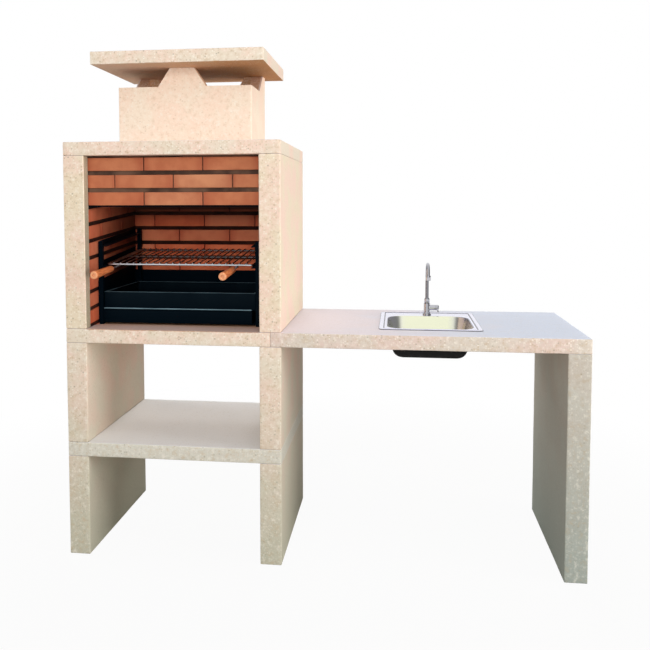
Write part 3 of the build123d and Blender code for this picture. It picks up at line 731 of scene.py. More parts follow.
def rounded_line(corners: list[tuple[float, ...]], steps: int) -> np.ndarray:
    """An open outline whose inner corners are arcs.

    Each corner's arc touches both of its sides: it starts the radius times the tangent of half the turn
    before the corner, and its points are the corner's centre plus the radius at angles in between.

    Args:
        corners: The corners in order, each with its arc's radius, or without one where it stays sharp.
        steps: Steps along an arc.

    Returns:
        The points of the outline, one to a row.
    """
    places = np.array([corner[:2] for corner in corners], float)
    radii = [sum(corner[2:]) for corner in corners[1:-1]]
    shares = np.linspace(0, 1, steps + 1)[:, None]
    line = [places[0]]
    for before, here, after, radius in zip(places, places[1:], places[2:], radii):
        if radius <= 0:
            line.append(here)
            continue
        back = (before - here) / np.linalg.norm(before - here)
        ahead = (after - here) / np.linalg.norm(after - here)
        half = math.acos(float(np.clip(back @ ahead, -1, 1))) / 2
        centre = here + (back + ahead) / np.linalg.norm(back + ahead) * radius / math.sin(half)
        first, last = (here + way * radius / math.tan(half) - centre for way in (back, ahead))
        sweep = math.acos(float(np.clip(first @ last / radius ** 2, -1, 1)))
        arc = np.sin((1 - shares) * sweep) * first + np.sin(shares * sweep) * last
        line.extend(centre + arc / math.sin(sweep))
    return np.array([*line, places[-1]])


def ridges(tooth: list[tuple[float, float]], start: float, count: int) -> np.ndarray:
    """A thread's outline: one tooth after another, each a pitch higher.

    Args:
        tooth: Radius and height of one tooth's points.
        start: The height of the first tooth.
        count: How many teeth.

    Returns:
        Radius and height, one point to a row.
    """
    rises = start + THREAD_PITCH * np.arange(count)
    return (np.array(tooth) + np.stack([0 * rises, rises], -1)[:, None]).reshape(-1, 2)


def level_ring(half: np.ndarray, centre: np.ndarray, corner: float, level: float, arc_steps: int,
               side_steps: int) -> np.ndarray:
    """A level rounded rectangle: a quarter circle at each corner, and points along each side.

    Every ring with the same numbers of steps has its points in the same order, so that rings of
    different sizes join point to point.

    Args:
        half: Half its width and depth.
        centre: Its middle.
        corner: Its corners' radius.
        level: Its height.
        arc_steps: Steps round a corner.
        side_steps: Steps along a side.

    Returns:
        Points, one to a row, anticlockwise.
    """
    corner = min(corner, *half)
    middles = np.array([(1, 1), (-1, 1), (-1, -1), (1, -1)]) * (half - corner)
    angles = np.linspace(0, math.pi / 2, arc_steps + 1)[None] + (np.arange(4) * math.pi / 2)[:, None]
    arcs = middles[:, None] + corner * np.stack([np.cos(angles), np.sin(angles)], -1)
    shares = np.linspace(0, 1, side_steps + 1)[1:-1, None]
    sides = arcs[:, -1:] * (1 - shares) + np.roll(arcs[:, :1], -1, 0) * shares
    flat = np.concatenate([arcs, sides], 1).reshape(-1, 2) + centre
    return np.column_stack([flat, np.full(len(flat), level)])


def patches(points: np.ndarray, wave: float, seed: int) -> np.ndarray:
    """Smooth unevenness: the mean of twelve sine waves that run in fixed chance directions.

    Args:
        points: Places, in metres.
        wave: The length of the waves, in metres.
        seed: Fixes the directions.

    Returns:
        A number from nought to one for each point.
    """
    chance = np.random.default_rng(seed)
    directions = chance.normal(size=(12, 3))
    directions /= np.linalg.norm(directions, axis=1, keepdims=True)
    pace = 2 * math.pi / (wave * chance.uniform(0.7, 1.5, 12))
    phase = chance.uniform(0, 2 * math.pi, 12)
    level = np.sin((points @ directions.T) * pace + phase).mean(-1) * 2.2
    return 0.5 + 0.5 * np.clip(level, -1, 1)


def rounded_box(low: np.ndarray, high: np.ndarray, radius: float, step: float,
                arc_steps: int = 3) -> list[np.ndarray]:
    """A box with rounded edges, as six grids.

    Each point of a plain box is pulled to the radius from the nearest point of the box shrunk by that
    radius. Near the edges the grid lines stand at the radius times the tangent of even angles, so that
    the rounding is even.

    Args:
        low: The lowest corner.
        high: The highest corner.
        radius: The edges' radius.
        step: The longest step of the grid on the flats.
        arc_steps: Steps round half an edge.

    Returns:
        A grid for each side, all six turning the same way.
    """
    inner_low, inner_high = low + radius, high - radius
    band = radius * np.tan(np.linspace(math.pi / 4, 0, arc_steps + 1))
    lines = []
    for start, end in zip(inner_low, inner_high):
        flats = np.linspace(start, end, max(2, math.ceil((end - start) / step) + 1))[1:-1]
        lines.append(np.concatenate([start - band, flats, end + band[::-1]]))
    grids = []
    for axis in range(3):
        across, upward = (axis + 1) % 3, (axis + 2) % 3
        for side in (low, high):
            u, v = np.meshgrid(lines[across], lines[upward], indexing="ij")
            points = np.empty(u.shape + (3,))
            points[..., axis] = side[axis]
            points[..., across] = u
            points[..., upward] = v
            nearest = np.clip(points, inner_low, inner_high)
            away = points - nearest
            points = nearest + radius * away / np.linalg.norm(away, axis=-1, keepdims=True)
            grids.append(points if side is high else points[::-1])
    return grids


def weathered(points: np.ndarray, low: np.ndarray, high: np.ndarray, radius: float, sag: float,
              chip: float, seed: int) -> np.ndarray:
    """Pulls a rounded box's points in, unevenly, and chips its edges.

    The way in is the direction to the nearest point of the box shrunk by the radius. A flat point goes in
    by up to the sag, along long waves. An edge point, where that direction leans away from all three axes,
    goes in by up to the chip wherever short waves stand high.

    Args:
        points: The rounded box's points.
        low: The box's lowest corner.
        high: The box's highest corner.
        radius: The rounding's radius.
        sag: The deepest waves.
        chip: The deepest chips.
        seed: Fixes the waves.

    Returns:
        The new points, none further out than before.
    """
    away = points - np.clip(points, low + radius, high - radius)
    away /= np.maximum(np.linalg.norm(away, axis=-1, keepdims=True), 1e-9)
    lean = np.clip((1 - np.abs(away).max(-1)) / (1 - math.sqrt(0.5)), 0, 1)
    high_share = (patches(points, CHIP_WAVE, seed + 1) - CHIP_START) / (1 - CHIP_START)
    depth = sag * patches(points, SAG_WAVE, seed) + chip * lean * np.clip(high_share, 0, 1) ** 1.5
    return points - away * depth[..., None]


class Shell:
    """A mesh that is put together from grids of points."""

    def __init__(self) -> None:
        """Starts with nothing."""
        self.points: list[np.ndarray] = []
        self.faces: list[np.ndarray] = []
        self.values: dict[str, list[np.ndarray]] = {}
        self.count = 0

    def add(self, grid: np.ndarray, wrap_rows: bool = False, wrap_columns: bool = False,
            **values: np.ndarray | float) -> Shell:
        """Adds a grid.

        Args:
            grid: Points, in rows and columns.
            wrap_rows: The last row joins the first.
            wrap_columns: Each row's end joins its start.
            values: Attributes, one number for all points or one for each.

        Returns:
            The shell itself.
        """
        rows, columns = grid.shape[:2]
        self.points.append(grid.reshape(-1, 3))
        self.faces.append(quads(rows, columns, wrap_rows, wrap_columns) + self.count)
        for name, value in values.items():
            spread = np.broadcast_to(np.asarray(value, float), (rows, columns)).reshape(-1)
            self.values.setdefault(name, []).append(spread)
        self.count += rows * columns
        return self

    def moved(self, matrix: Matrix) -> Shell:
        """Carries every point through a matrix.

        Args:
            matrix: A turn and a shift.

        Returns:
            The shell itself.
        """
        self.points = [carried(points, matrix) for points in self.points]
        return self

    def join(self, other: Shell) -> Shell:
        """Adds another shell's grids. An attribute that one of the two lacks is nought there.

        Args:
            other: The shell to add.

        Returns:
            The shell itself.
        """
        self.points += other.points
        self.faces += [faces + self.count for faces in other.faces]
        for name in sorted({*self.values, *other.values}):
            held = self.values.setdefault(name, [np.zeros(self.count)])
            held.extend(other.values.get(name, [np.zeros(other.count)]))
        self.count += other.count
        return self

    def mesh(self, name: str, merge: float = 0.02 * MM) -> bpy.types.Mesh:
        """Makes the mesh: seams and poles are merged, and faces point outwards.

        Args:
            name: The mesh's name.
            merge: Points nearer than this become one.

        Returns:
            The mesh.
        """
        made = bpy.data.meshes.new(name)
        made.from_pydata(np.vstack(self.points).tolist(), [], np.vstack(self.faces).tolist())
        for key, value in self.values.items():
            made.attributes.new(key, "FLOAT", "POINT").data.foreach_set("value", np.concatenate(value))
        work = bmesh.new()
        work.from_mesh(made)
        bmesh.ops.remove_doubles(work, verts=work.verts, dist=merge)
        bmesh.ops.dissolve_degenerate(work, edges=work.edges, dist=merge)
        bmesh.ops.recalc_face_normals(work, faces=work.faces)
        work.to_mesh(made)
        work.free()
        return made


def turned(outline: np.ndarray, around: int, seat: Matrix) -> Shell:
    """A shape turned about Z: each point of its outline goes round as radius times cosine and sine.

    Args:
        outline: Radius and height, one point to a row.
        around: Points round the axis.
        seat: Carries the shape to its place.

    Returns:
        Its surface.
    """
    turn = np.linspace(0, 2 * math.pi, around, endpoint=False)
    radius, height = outline[:, :1], outline[:, 1:]
    grid = np.stack([radius * np.cos(turn), radius * np.sin(turn), height + 0 * turn], -1)
    return Shell().add(grid, wrap_columns=True).moved(seat)


def node_box(name: str) -> tuple[np.ndarray, np.ndarray]:
    """A CAD node's lowest and highest corner, in metres."""
    low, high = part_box(name)
    return np.array(low), np.array(high)


def middle_of(low: np.ndarray, high: np.ndarray) -> tuple[np.ndarray, np.ndarray]:
    """Half a box's width and depth, and its middle in X and Y."""
    return (high - low)[:2] / 2, (high + low)[:2] / 2


def place_piece(shell: Shell | bpy.types.Mesh, name: str, finish: Finish, node: str, body: str = "masonry",
                sharp_deg: float = 38.0) -> bpy.types.Object:
    """Puts a piece into the scene, in place of a CAD node.

    Args:
        shell: Its surface.
        name: The piece's name.
        finish: Its material.
        node: The CAD node that it stands for.
        body: The body that it rides on.
        sharp_deg: Edges that turn by more than this stay sharp.

    Returns:
        The new object.
    """
    made = shell.mesh(name) if isinstance(shell, Shell) else shell
    made.materials.append(finish.material())
    made.shade_smooth()
    made.set_sharp_from_angle(angle=math.radians(sharp_deg))
    piece = bpy.data.objects.new(name, made)
    bpy.context.scene.collection.objects.link(piece)
    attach(piece, body)
    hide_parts(node)
    LOG.info("%s: %d faces, stands for %s", name, len(made.polygons), node)
    return piece


def dress(frame: dict, finish: Finish, *nodes: str) -> None:
    """Gives CAD nodes a finish.

    Args:
        frame: The loaded frame.
        finish: The material.
        nodes: The nodes' names.
    """
    for name in nodes:
        mesh = frame["nodes"][name].data
        mesh.materials.clear()
        mesh.materials.append(finish.material())
        LOG.info("%s: dressed in %s", name, finish.name)


class Side(Enum):
    """A side lining, by the way along X that its face looks."""

    LEFT = 1
    RIGHT = -1


@dataclass
class CastSlabs:
    """The plain cast slabs and legs: blocks with worn arrises, slightly wavy faces and small chips."""

    arris: float = 2.8 * MM
    step: float = 11.0 * MM
    sag: float = 0.5 * MM
    chip: float = 2.6 * MM
    first_seed: int = 20
    # Where the hearth's browning starts and is full, behind its front.
    browning_start: float = 60.0 * MM
    browning_end: float = 170.0 * MM
    nodes: tuple[str, ...] = (
        "lower_left_leg", "lower_middle_leg", "table_leg", "shelf_slab", "upper_left_leg",
        "upper_middle_leg", "hearth_slab", "chimney_cap")

    def soot(self, name: str, points: np.ndarray, low: np.ndarray, high: np.ndarray) -> np.ndarray | float:
        """How browned and darkened a place is.

        The cap's underside browns and darkens, more to the right. The hearth's top browns and darkens inside
        the firebox, more to the back, and so does its front arris there.

        Args:
            name: The node.
            points: Places on it.
            low: Its lowest corner.
            high: Its highest corner.

        Returns:
            Numbers from nought to one.
        """
        across, deep, level = np.moveaxis(points, -1, 0)
        if name == "chimney_cap":
            return (level < low[2] + 0.5 * MM) * (0.45 + 0.42 * ease(across, low[0], high[0]))
        if name != "hearth_slab":
            return 0.0
        lining_low, lining_high = node_box("back_lining_bricks")
        between = ease(across, lining_low[0] - 4 * MM, lining_low[0] + 6 * MM)
        between = between * ease(across, lining_high[0] + 4 * MM, lining_high[0] - 6 * MM)
        ash = 0.45 + 0.4 * ease(deep, low[1] + self.browning_start, low[1] + self.browning_end)
        edge = (np.abs(deep - low[1]) < self.arris) & (level > high[2] - self.arris)
        return between * np.maximum((level > high[2] - 0.5 * MM) * ash, edge * 0.6)

    def build(self) -> None:
        """Makes every plain block over its node."""
        finishes = {"table_leg": GREY_CONCRETE, "shelf_slab": SHELF_CONCRETE}
        for seed, name in enumerate(self.nodes, self.first_seed):
            low, high = node_box(name)
            shell = Shell()
            for grid in rounded_box(low, high, self.arris, self.step):
                worn = weathered(grid, low, high, self.arris, self.sag, self.chip, seed)
                shell.add(worn, soot=self.soot(name, grid, low, high))
            place_piece(shell, f"cast_{name}", finishes.get(name, CONCRETE), name, sharp_deg=60.0)


@dataclass
class PiercedSlab:
    """A cast slab with an opening: the worktop round the sink, or the roof slab round the flue."""

    node: str
    # The node over the opening, and how far inside its outline the opening's edge lies.
    above: str
    inset: float
    hole_corner: float
    seed: int
    finish: Finish
    arris: float = 2.8 * MM
    sag: float = 0.5 * MM
    chip: float = 2.2 * MM

    def build(self) -> None:
        """Joins rings from the hole's lower edge out, up, and back to its upper edge.

        The outer rings are inset by the arris less its sine, and raised by the arris less its cosine. The
        flats are straight blends between the outermost flat ring and the hole's ring.
        """
        low, high = node_box(self.node)
        half, centre = middle_of(low, high)
        hole_half, hole_centre = middle_of(*node_box(self.above))
        hole_half = hole_half - self.inset
        turn = np.linspace(0, math.pi / 2, 5)
        bends = list(zip(self.arris * (1 - np.sin(turn)), self.arris * (1 - np.cos(turn))))
        lower = [level_ring(half - inset, centre, self.arris - inset, low[2] + rise, 4, 64)
                 for inset, rise in bends]
        upper = [level_ring(half - inset, centre, self.arris - inset, high[2] - rise, 4, 64)
                 for inset, rise in bends[::-1]]
        hole_bottom, hole_top = (level_ring(hole_half, hole_centre, self.hole_corner, level, 4, 64)
                                 for level in (low[2], high[2]))
        flat = np.linspace(0, 1, 20)[1:-1, None, None]
        edge = np.linspace(0, 1, 6)[1:-1, None, None]
        rings = np.concatenate([
            [hole_bottom], hole_bottom * (1 - flat) + lower[0] * flat, lower,
            lower[-1] * (1 - edge) + upper[0] * edge, upper,
            upper[-1] * (1 - flat) + hole_top * flat, [hole_top], hole_top * (1 - edge) + hole_bottom * edge])
        shell = Shell().add(weathered(rings, low, high, self.arris, self.sag, self.chip, self.seed),
                            wrap_rows=True, wrap_columns=True)
        place_piece(shell, f"cast_{self.node}", self.finish, self.node, sharp_deg=60.0)


@dataclass
class BrickCourses:
    """Bricks in running bond: soft-edged, each with its own tone and its own small error of place."""

    length: float = 217.0 * MM
    height: float = 48.0 * MM
    end_joint: float = 3.0 * MM
    bed_joint: float = 15.0 * MM
    first_bed: float = 11.5 * MM
    climb: float = 35.0 * MM
    climb_short: float = 30.0 * MM
    edge: float = 1.8 * MM
    step: float = 12.0 * MM
    sag: float = 0.35 * MM
    chip: float = 1.4 * MM
    error: float = 0.5 * MM
    least: float = 8.0 * MM
    flat_seed: int = 900
    side_seed: int = 400
    # The first joint of even and odd courses, as a share of a brick with its joint.
    lintel_shares: tuple[float, float] = (0.973, 0.473)
    back_shares: tuple[float, float] = (0.909, 0.409)
    side_shares: tuple[float, float] = (1.0, 0.58)
    # Bands of painted shade under the lintel, up the back wall: each one's weight, and the levels where it
    # starts and is full.
    back_shade_bands: tuple[tuple[float, float, float], ...] = (
        (1.0, 1.22, 1.32), (5.0, 1.265, 1.285), (3.0, 1.225, 1.262))
    # The levels between which the side walls are painted darker, as painted shade, down to the tray.
    side_shade_levels: tuple[float, float] = (1.16, 1.02)

    def spans(self, run: float, first_share: float) -> list[tuple[float, float]]:
        """Where each brick of a course starts and ends.

        Args:
            run: The course's length.
            first_share: The first joint's place, as a share of a brick with its joint.

        Returns:
            The starts and ends along the run.
        """
        pitch = self.length + self.end_joint
        joint = first_share * pitch
        start, found = 0.0, []
        while start < run:
            end = min(joint - self.end_joint, run)
            if end - start > self.least:
                found.append((start, end))
            start = max(joint, self.end_joint)
            joint += pitch
        return found

    def brick(self, low: np.ndarray, high: np.ndarray, run_axis: int, seed: int, turn: Matrix) -> Shell:
        """One brick.

        Args:
            low: Its lowest corner.
            high: Its highest corner.
            run_axis: The axis that it lies along.
            seed: Fixes its weathering and tone.
            turn: Carries it to its course.

        Returns:
            Its surface, with its tone and the share along it.
        """
        chance = np.random.default_rng(seed)
        tone = float(chance.uniform(0, 1))
        inset = chance.uniform(0.0, self.error, 3)
        low, high = low + inset, high - inset
        shell = Shell()
        for grid in rounded_box(low, high, self.edge, self.step, 2):
            along = (grid[..., run_axis] - low[run_axis]) / (high[run_axis] - low[run_axis])
            worn = weathered(grid, low, high, self.edge, self.sag, self.chip, seed)
            shell.add(worn, tone=tone, along=along, soot=self.soot(carried(worn, turn), run_axis))
        return shell.moved(turn)

    def soot(self, points: np.ndarray, run_axis: int) -> np.ndarray:
        """How much painted shade a place gets: side walls darken to the back and down, the back wall up and
        to the left.

        Args:
            points: Places.
            run_axis: The axis that the course lies along.

        Returns:
            Numbers from nought to one. The lintel in front has none.
        """
        low, high = node_box("back_lining_bricks")
        across, deep, level = np.moveaxis(points, -1, 0)
        if run_axis == 1:
            behind = ease(deep, low[1] - 330 * MM, high[1] - 60 * MM)
            under = ease(level, *self.side_shade_levels) * ease(deep, low[1] - 400 * MM, low[1] - 200 * MM)
            return np.clip(0.12 + 0.62 * behind + 0.5 * under, 0, 0.88)
        above = sum(weight * ease(level, start, full) for weight, start, full in self.back_shade_bands)
        end = ease(across, low[0] + 60 * MM, low[0])
        return (deep > 0.0) * np.clip(0.12 * above + 0.2 * end, 0, 0.93)

    def flat_wall(self, node: str, shares: tuple[float, float], first: float, finish: Finish) -> None:
        """Lays level courses along X: the back lining, or the lintel.

        Args:
            node: The CAD node of bricks.
            shares: The first joints of even and odd courses.
            first: The underside of the first course.
            finish: The bricks' material.
        """
        low, high = node_box(node)
        pitch = self.height + self.bed_joint
        shell = Shell()
        for course in range(-1, math.ceil((high[2] - first) / pitch)):
            base = first + course * pitch
            bottom, top = max(base, low[2]), min(base + self.height, high[2])
            if top - bottom < self.least:
                continue
            for number, (start, end) in enumerate(self.spans(high[0] - low[0], shares[course % 2])):
                here = np.array([low[0] + start, low[1], bottom])
                there = np.array([low[0] + end, high[1], top])
                seed = self.flat_seed + course * 17 + number
                shell.join(self.brick(here, there, 0, seed, Matrix.Identity(4)))
        place_piece(shell, f"laid_{node}", finish, node, sharp_deg=60.0)

    def side_wall(self, side: Side, node: str, first: float) -> None:
        """Lays climbing courses along Y, and cuts them to the lining.

        Args:
            side: Which lining.
            node: The CAD node of bricks.
            first: The underside of the first course, in front.
        """
        low, high = node_box(node)
        pitch = self.height + self.bed_joint
        slope = math.atan2(self.climb, high[1] - self.climb_short - low[1])
        shell = Shell()
        for course in range(-1, math.ceil((high[2] - first) / pitch) + 1):
            turn = Matrix.Translation((0, low[1], first + course * pitch)) @ Matrix.Rotation(slope, 4, "X")
            run = high[1] - low[1] + pitch
            for number, (start, end) in enumerate(self.spans(run, self.side_shares[course % 2])):
                here = np.array([low[0], start, 0.0])
                there = np.array([high[0], end, self.height])
                seed = self.side_seed + course * 13 + number + 7 * side.value
                shell.join(self.brick(here, there, 1, seed, turn))
        made = shell.mesh(f"laid_{node}")
        self.trim(made, low, high)
        place_piece(made, f"laid_{node}", FIREBOX_BRIGHTENED_CLAY, node, sharp_deg=60.0)

    def trim(self, made: bpy.types.Mesh, low: np.ndarray, high: np.ndarray) -> None:
        """Cuts a mesh to a box along Y and Z, and closes the cuts.

        Args:
            made: The mesh.
            low: The box's lowest corner.
            high: The box's highest corner.
        """
        work = bmesh.new()
        work.from_mesh(made)
        for axis in (1, 2):
            for corner, sign in ((low, -1.0), (high, 1.0)):
                direction = [0.0, 0.0, 0.0]
                direction[axis] = sign
                everything = work.verts[:] + work.edges[:] + work.faces[:]
                bmesh.ops.bisect_plane(work, geom=everything, plane_co=corner.tolist(), plane_no=direction,
                                       clear_outer=True, dist=0.01 * MM)
                rims = [edge for edge in work.edges if edge.is_boundary]
                bmesh.ops.holes_fill(work, edges=rims, sides=0)
        bmesh.ops.recalc_face_normals(work, faces=work.faces)
        work.to_mesh(made)
        work.free()

    def build(self) -> None:
        """Lays the back and both side linings, and the lintel."""
        bed = node_box("back_lining_bricks")[0][2] + self.first_bed
        self.flat_wall("lintel_bricks", self.lintel_shares, node_box("lintel_bricks")[0][2], CLAY)
        self.flat_wall("back_lining_bricks", self.back_shares, bed + self.climb, FIREBOX_BRIGHTENED_CLAY)
        self.side_wall(Side.LEFT, "left_lining_bricks", bed)
        self.side_wall(Side.RIGHT, "right_lining_bricks", bed)


@dataclass
class WireGrill:
    """The sliding grill: a bent frame wire, a cross wire, mesh wires on top with their welds, two tangs,
    and two turned grips. Its plane slopes like the lower rails."""

    slope_deg: float = 5.0
    lift: float = 0.3 * MM
    frame_wire: float = 8.0 * MM
    cross_wire: float = 6.0 * MM
    mesh_wire: float = 5.0 * MM
    mesh_count: int = 21
    mesh_bow: float = 0.25 * MM
    weld_sink: float = 0.5 * MM
    weld_radius: float = 4.2 * MM
    weld_height: float = 3.0 * MM
    corner: float = 9.0 * MM
    rail_z: float = 1069.0 * MM
    # Where the front and the back wire lie, up the slope from the rack's front.
    first: float = 28.107 * MM
    last: float = 396.510 * MM
    tang_wire: float = 7.0 * MM
    tang_tail: float = 18.0 * MM
    tang_reach: float = 78.0 * MM
    tang_grip: float = 39.0 * MM
    grip_slope_deg: float = 3.0
    grip_length: float = 171.0 * MM
    grip_bore: float = 5.5 * MM
    grip_bore_depth: float = 4.0 * MM

    def plane(self) -> Matrix:
        """The grill's own plane: X across, Y up the slope from the rack's front."""
        front = Matrix.Translation((0, node_box("left_rack")[0][1], self.rail_z))
        slope = Matrix.Rotation(math.radians(self.slope_deg), 4, "X")
        return front @ slope @ Matrix.Translation((0, 0, self.lift))

    def tang_line(self, x: float) -> Matrix:
        """A tang's own line below the front wire, Y to the back, at a place across."""
        droop = math.radians(self.grip_slope_deg - self.slope_deg)
        return (self.plane() @ Matrix.Translation((x, self.first, self.weld_sink - self.tang_wire / 2))
                @ Matrix.Rotation(droop, 4, "X"))

    def smoked_and_shaded(self, points: np.ndarray) -> np.ndarray:
        """How dark the wires are: more, the further they are behind the front wire, as sooting and painted
        shade.
        """
        return 0.62 * ease(points[..., 1], self.first + 2 * MM, self.first + 60 * MM)

    def wires(self, grips: list[float]) -> Shell:
        """All the wires.

        Args:
            grips: The places of the two tangs across.

        Returns:
            Their surface.
        """
        low, high = node_box("grill_grid")
        radius = self.frame_wire / 2
        middle, half = (low[0] + high[0]) / 2, (high[0] - low[0]) / 2 - radius
        centre, reach = (self.first + self.last) / 2, (self.last - self.first) / 2
        level = self.frame_wire - self.cross_wire / 2
        top = self.frame_wire + self.mesh_wire / 2 - self.weld_sink
        loop = level_ring(np.array([half, reach]), np.array([middle, centre]), self.corner, radius, 8, 24)
        frame = tube(loop, radius, 14, closed=True)
        shell = Shell().add(frame, wrap_rows=True, wrap_columns=True, soot=self.smoked_and_shaded(frame))
        cross = tube(np.linspace((middle - half, centre, level), (middle + half, centre, level), 12),
                     self.cross_wire / 2)
        shell.add(cross, wrap_columns=True, soot=self.smoked_and_shaded(cross))
        for x in np.linspace(-half, half, self.mesh_count + 2)[1:-1] + middle:
            path = np.linspace((x, self.first - radius, top), (x, self.last + radius, top), 24)
            path[:, 0] += self.mesh_bow * np.sin(np.linspace(0, math.pi, 24) * 3 + x * 90)
            wire = tube(path, self.mesh_wire / 2)
            shell.add(wire, wrap_columns=True, soot=self.smoked_and_shaded(wire))
            for y in (self.first - 1.5 * MM, self.last):
                shell.join(self.weld(x, y))
        shell.moved(self.plane())
        for x in grips:
            line = np.linspace((0, self.tang_tail, 0), (0, -self.tang_reach - self.tang_grip, 0), 12)
            # The tangs are darkened a little.
            tang = Shell().add(tube(line, self.tang_wire / 2, 14), wrap_columns=True, soot=0.3)
            shell.join(tang.moved(self.tang_line(x)))
        return shell

    def weld(self, x: float, y: float) -> Shell:
        """A small fused bead where a mesh wire crosses the frame wire. Its profile is half an ellipse.

        Args:
            x: Its place across.
            y: Its place up the slope.

        Returns:
            Its surface.
        """
        rise = np.linspace(-math.pi / 2, math.pi / 2, 7)
        outline = np.stack([np.cos(rise) * self.weld_radius, np.sin(rise) * self.weld_height], 1)
        bead = turned(outline, 10, Matrix.Translation((x, y, self.frame_wire + 0.8 * MM)))
        bead.values["soot"] = [self.smoked_and_shaded(bead.points[0])]
        return bead

    def grip(self, name: str, x: float) -> None:
        """A turned grip with a bored front end, on its tang.

        Args:
            name: Its node.
            x: Its place across.
        """
        end, bore = self.grip_length, self.grip_bore
        bored = end - self.grip_bore_depth
        outline = rounded_line([
            (0.0, 0.0), (12.0 * MM, 0.0, 5.5 * MM), (12.15 * MM, 22 * MM, 60 * MM),
            (13.0 * MM, 86 * MM, 90 * MM), (13.9 * MM, 140 * MM, 40 * MM), (14.5 * MM, 156 * MM, 20 * MM),
            (14.5 * MM, end, 4 * MM), (bore, end, 1.2 * MM), (bore, bored, 0.8 * MM), (0.0, bored)], 7)
        outward = Matrix.Translation((0, -self.tang_reach, 0)) @ Matrix.Rotation(math.radians(90), 4, "X")
        shell = turned(outline, 56, self.tang_line(x) @ outward)
        place_piece(shell, f"turned_{name}", BEECH, name, "grill", 35.0)

    def build(self) -> None:
        """Makes the wires and both grips."""
        names = ("left_handle", "right_handle")
        places = [float(sum(corner[0] for corner in node_box(name))) / 2 for name in names]
        place_piece(self.wires(places), "welded_grill", WIRE, "grill_grid", "grill", 50.0)
        for name, x in zip(names, places):
            self.grip(name, x)


@dataclass
class FireSet:
    """The folded charcoal tray with its turned-in rim, and the ash drawer with its rolled lip."""

    steel: float = 2.0 * MM
    fold: float = 2.6 * MM
    inner_fold: float = 0.5 * MM
    cut_edge: float = 0.6 * MM
    rim: float = 9.0 * MM
    rim_drop: float = 5.0 * MM
    ledge: float = 20.0 * MM
    lip: float = 4.0 * MM
    drawer_top: float = 898.0 * MM
    floor_inset: float = 12.0 * MM
    ripple: float = 0.5 * MM

    def folded_box(self, low: np.ndarray, high: np.ndarray, profile: np.ndarray, wear: np.ndarray) -> Shell:
        """Carries a closed profile of insets and heights round a box's corners.

        Args:
            low: The box's lowest corner.
            high: The box's highest corner.
            profile: Inset and height, one point to a row.
            wear: How much painted highlight each point of the profile gets.

        Returns:
            Its surface.
        """
        half, centre = middle_of(low, high)
        grid = np.array([
            level_ring(half - inset, centre, max(self.fold + self.steel - inset, 0.4 * MM), level, 4, 26)
            for inset, level in profile])
        painted_highlight = wear[:, None] * (0.45 + 0.55 * patches(grid, 0.07, 5))
        # The sheet between folds is never quite flat, so it goes in a little, in long waves.
        inward = np.sign(centre - grid[..., :2]) * (np.abs(grid[..., :2] - centre) > half - 3 * MM)
        grid[..., :2] += inward * (self.ripple * patches(grid, 0.22, 9))[..., None]
        return Shell().add(grid, wrap_rows=True, wrap_columns=True, wear=painted_highlight)

    def tray(self) -> None:
        """The profile runs up the outside, over the rim, down its edge, and back inside to the ledge."""
        low, high = node_box("charcoal_tray")
        steel, fold, floor, top = self.steel, self.fold, low[2], high[2]
        rim, edge, ledge, crease = self.rim, top - self.rim_drop, self.ledge, self.inner_fold
        profile = rounded_line([
            (ledge + 10 * MM, floor), (0.0, floor, fold), (0.0, top, fold), (rim, top, fold), (rim, edge),
            (rim - steel, edge), (rim - steel, top - steel, crease), (steel, top - steel, crease),
            (steel, floor + steel, crease), (ledge + steel, floor + steel), (ledge + steel, floor),
            (ledge, floor)], 5)[1:]
        # The rim's top gets a painted highlight.
        wear = ease(profile[:, 1], top - 2.8 * MM, top - 0.8 * MM) * 0.3
        place_piece(self.folded_box(low, high, profile, wear), "folded_charcoal_tray", BLACK_STEEL,
                    "charcoal_tray", sharp_deg=40.0)

    def drawer(self) -> None:
        """An open box, a taller front with folded ends, and a round lip along its top."""
        low, high = node_box("ash_drawer")
        steel, floor, inset = self.steel, low[2], self.floor_inset
        front, rim = low[1] + self.lip, high[2] - self.lip
        box_low = np.array([low[0], front, floor])
        profile = rounded_line([
            (inset, floor), (0.0, floor, self.fold), (0.0, self.drawer_top, self.cut_edge),
            (steel, self.drawer_top, self.cut_edge), (steel, floor + steel, self.inner_fold),
            (inset, floor + steel)], 5)
        shell = self.folded_box(box_low, high, profile, np.zeros(len(profile)))
        # The floor reaches a little under the profile's inner edge.
        half, centre = middle_of(box_low, high)
        reach = half - (inset - MM)
        u, v = np.meshgrid(*np.stack([centre - reach, centre + reach], 1), indexing="ij")
        for level, order in ((floor, 1), (floor + steel, -1)):
            shell.add(np.stack([u, v, np.full_like(u, level)], -1)[::order], wear=0.0)
        plate_high = np.array([high[0], front + steel, rim])
        for grid in rounded_box(box_low, plate_high, 0.8 * MM, 20 * MM, 2):
            shell.add(grid, wear=0.0)
        roll = tube(np.linspace((low[0], front, rim), (high[0], front, rim), 40), self.lip, 16)
        # The top of the rolled lip gets a painted highlight.
        painted_highlight = ease((roll[..., 2] - rim) / self.lip, -0.1, 0.8) * (0.5 + 0.45 * patches(roll, 0.09, 15))
        shell.add(roll, wrap_columns=True, wear=painted_highlight)
        place_piece(shell, "folded_ash_drawer", BLACK_STEEL, "ash_drawer", "drawer", 40.0)

    def build(self) -> None:
        """Makes the tray and the drawer."""
        self.tray()
        self.drawer()


